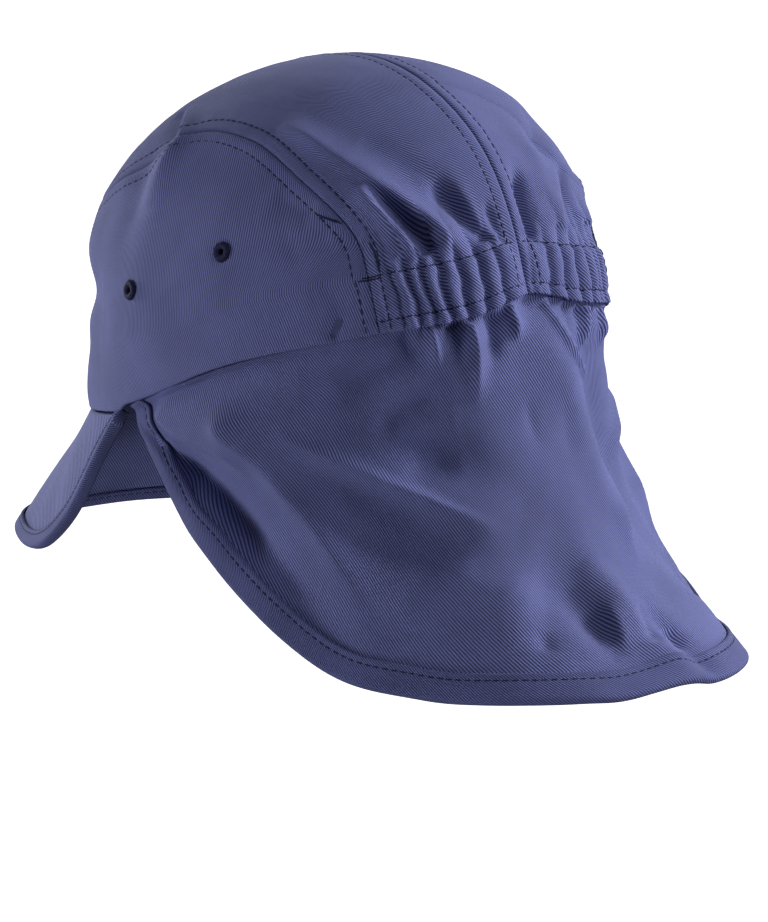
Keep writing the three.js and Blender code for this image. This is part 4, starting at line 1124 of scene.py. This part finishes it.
def eyelet_mesh(name, u, v, seed, solid):
    """Embroidered eyelet: a ring of thread with a fan of satin stitches on both faces."""
    centre = crown_out(np.array(u), np.array(v), False)
    out = crown_normal(np.array(u), np.array(v))
    across = unit(np.cross(out, np.array([0, 0, 1.0])))
    upward = np.cross(out, across)
    inside = -CLOTH - GAP
    profile = [(EYELET_HOLE_RADIUS, GAP), (1.5, GAP + 0.45), (2.3, GAP + 0.35), (2.9, GAP),
               (EYELET_NECK_RADIUS, -0.2), (EYELET_NECK_RADIUS, inside + 0.2),
               (2.9, inside - 0.1), (2.3, inside - 0.4), (1.5, inside - 0.4), (EYELET_HOLE_RADIUS, inside)]
    sides, threads = 40, 30

    def ray_at(turn):
        return across * math.cos(turn) + upward * math.sin(turn)

    positions = [centre + ray_at(2 * math.pi * k / sides) * r + out * h
                 for k in range(sides) for r, h in profile]
    index = np.arange(len(positions)).reshape(sides, -1)
    faces = ring_faces(np.concatenate([index, index[:1]]))
    hexagon = [(math.cos(k * math.pi / 3), math.sin(k * math.pi / 3)) for k in range(6)]
    for face, level, rise in ((1, 0, GAP), (-1, inside, 0)):
        for k in range(threads):
            ray = ray_at(2 * math.pi * (k + 0.25 * waves(k * 1.9, seed)) / threads)
            side_way = np.cross(out, ray)
            far = EYELET_RADIUS - 0.25 + 0.22 * waves(k * 2.7, seed + 1)
            stations = [(EYELET_HOLE_RADIUS - 0.25, -0.25, 0.20), (EYELET_HOLE_RADIUS + 0.1, 0.45, 0.26),
                        (2.0, 0.72, 0.32), (2.8, 0.55, 0.34), (far, 0.0, 0.24), (far + 0.08, -0.28, 0.12)]
            rings = len(positions) + np.arange(6 * len(stations)).reshape(-1, 6)
            for r, h, w in stations:
                middle = centre + ray * r + out * (level + face * (h + rise))
                positions += [middle + side_way * (w * x) + out * (w * 0.8 * y) for x, y in hexagon]
            faces += ring_faces(rings) + [rings[0, ::-1].tolist(), rings[-1].tolist()]
    return finish_piece(name, np.array(positions), faces, None, THREAD, solid)


for name, side in (("left", 1), ("right", -1)):
    for where, u, v in EYELETS:
        solid = f"eyelet_{name}_{where}"
        eyelet_mesh(f"{solid}_thread", side * u, v, 2.0 + side + 3 * v, solid)


# Stage, lights and camera

def stage_bowl():
    """Wide pale floor that turns up into a wall all round."""
    profile = [(0.0, -1.4), (1.2, -1.4), (2.2, -1.38), (2.9, -1.22), (3.4, -0.85), (3.7, -0.3), (3.85, 0.5),
               (3.9, 1.6), (3.9, 3.4)]
    sides = 96
    turns = [2 * math.pi * k / sides for k in range(sides)]
    mesh = bpy.data.meshes.new("floor")
    positions = [(0, 0, profile[0][1])]
    positions += [(r * math.cos(turn), r * math.sin(turn), z) for r, z in profile[1:] for turn in turns]
    faces = [(0, 1 + k, 1 + (k + 1) % sides) for k in range(sides)]
    faces += ring_faces(np.arange(1, len(positions)).reshape(-1, sides), FACING_OUT)
    mesh.from_pydata(positions, [], faces)
    mesh.polygons.foreach_set("use_smooth", [True] * len(mesh.polygons))
    floor = new_object("floor", mesh)
    mesh.materials.append(new_material("floor_paper", {
        "Base Color": (0.86, 0.86, 0.87, 1), "Roughness": 0.9, "Emission Color": (1, 1, 1, 1),
        "Emission Strength": 0.93,
    })[0])
    floor.visible_diffuse = False
    floor.visible_glossy = False


stage_bowl()

world = bpy.data.worlds.new("studio")
bpy.context.scene.world = world
world.use_nodes = True
fill(world.node_tree.nodes["Background"], {"Color": (0.96, 0.97, 1.0, 1), "Strength": 0.05})


def area_light(name, place, target, size, power):
    data = bpy.data.lights.new(name, "AREA")
    data.shape = "SQUARE"
    data.size = size
    data.energy = power
    lamp = new_object(name, data)
    lamp.location = place
    lamp.rotation_euler = (target - place).to_track_quat("-Z", "Y").to_euler()
    lamp.visible_camera = False


# Camera: azimuth and elevation of where it stands, its roll, and how far the middle of the picture looks
# to the right of the crown's centre and below it
AZIMUTH, ELEVATION, ROLL = math.radians(141), math.radians(-5.5), math.radians(12.3)
DISTANCE = 1.5
AIM_RIGHT, AIM_DOWN = 0.0136, 0.0365
SENSOR, PICTURE_LONG_SIDE, PIXELS_PER_MM = 36, 922, 2.92
centre = Vector((0, 0, 0.004))
away_dir = Vector((math.sin(AZIMUTH) * math.cos(ELEVATION), -math.cos(AZIMUTH) * math.cos(ELEVATION),
                   math.sin(ELEVATION)))
level_right = Vector((math.cos(AZIMUTH), math.sin(AZIMUTH), 0))
level_up = level_right.cross(-away_dir)
right = level_right * math.cos(ROLL) - level_up * math.sin(ROLL)
up = level_right * math.sin(ROLL) + level_up * math.cos(ROLL)
eye = centre + away_dir * DISTANCE
back = (eye - (centre + right * AIM_RIGHT - up * AIM_DOWN)).normalized()
side_axis = up.cross(back).normalized()
up_axis = back.cross(side_axis)
camera_data = bpy.data.cameras.new("camera")
camera_data.sensor_width = SENSOR
camera_data.lens = PIXELS_PER_MM * DISTANCE * 1000 * SENSOR / PICTURE_LONG_SIDE
camera_data.clip_start, camera_data.clip_end = 0.05, 30
camera = new_object("camera", camera_data)
camera.matrix_world = Matrix((*zip(side_axis, up_axis, back, eye), (0, 0, 0, 1)))
bpy.context.scene.camera = camera


def beside(x, y, z):
    """Place from the camera's point of view: metres to the right, up and towards it from the crown."""
    return level_right * x + Vector((0, 0, 1)) * y + away_dir * z


# Softboxes on a sphere round the crown. name, direction from the camera's point of view, power in watts
LIGHT_DISTANCE = 2.2
LIGHT_SIZE = 0.8
for name, direction, power in (
    ("right", (1, 0.25, 0), 64), ("left", (-1, 0.25, 0), 26), ("left_back", (-0.8, 0.4, -0.9), 30),
    ("right_back", (0.8, 0.4, -0.9), 12), ("front_right", (0.8, 0.35, 1), 13),
    ("top_front", (0, 0.8, 0.8), 4), ("low_left", (-0.8, -0.5, 0.3), 24),
    ("low_right", (0.8, -0.5, 0.3), 20), ("top_back", (0, 0.7, -0.9), 14),
):
    place = beside(*Vector(direction).normalized() * LIGHT_DISTANCE)
    area_light(name, place, Vector((0, 0.02, -0.01)), LIGHT_SIZE, power)

bpy.context.scene.view_settings.view_transform = "Standard"
bpy.context.scene.view_settings.look = "None"
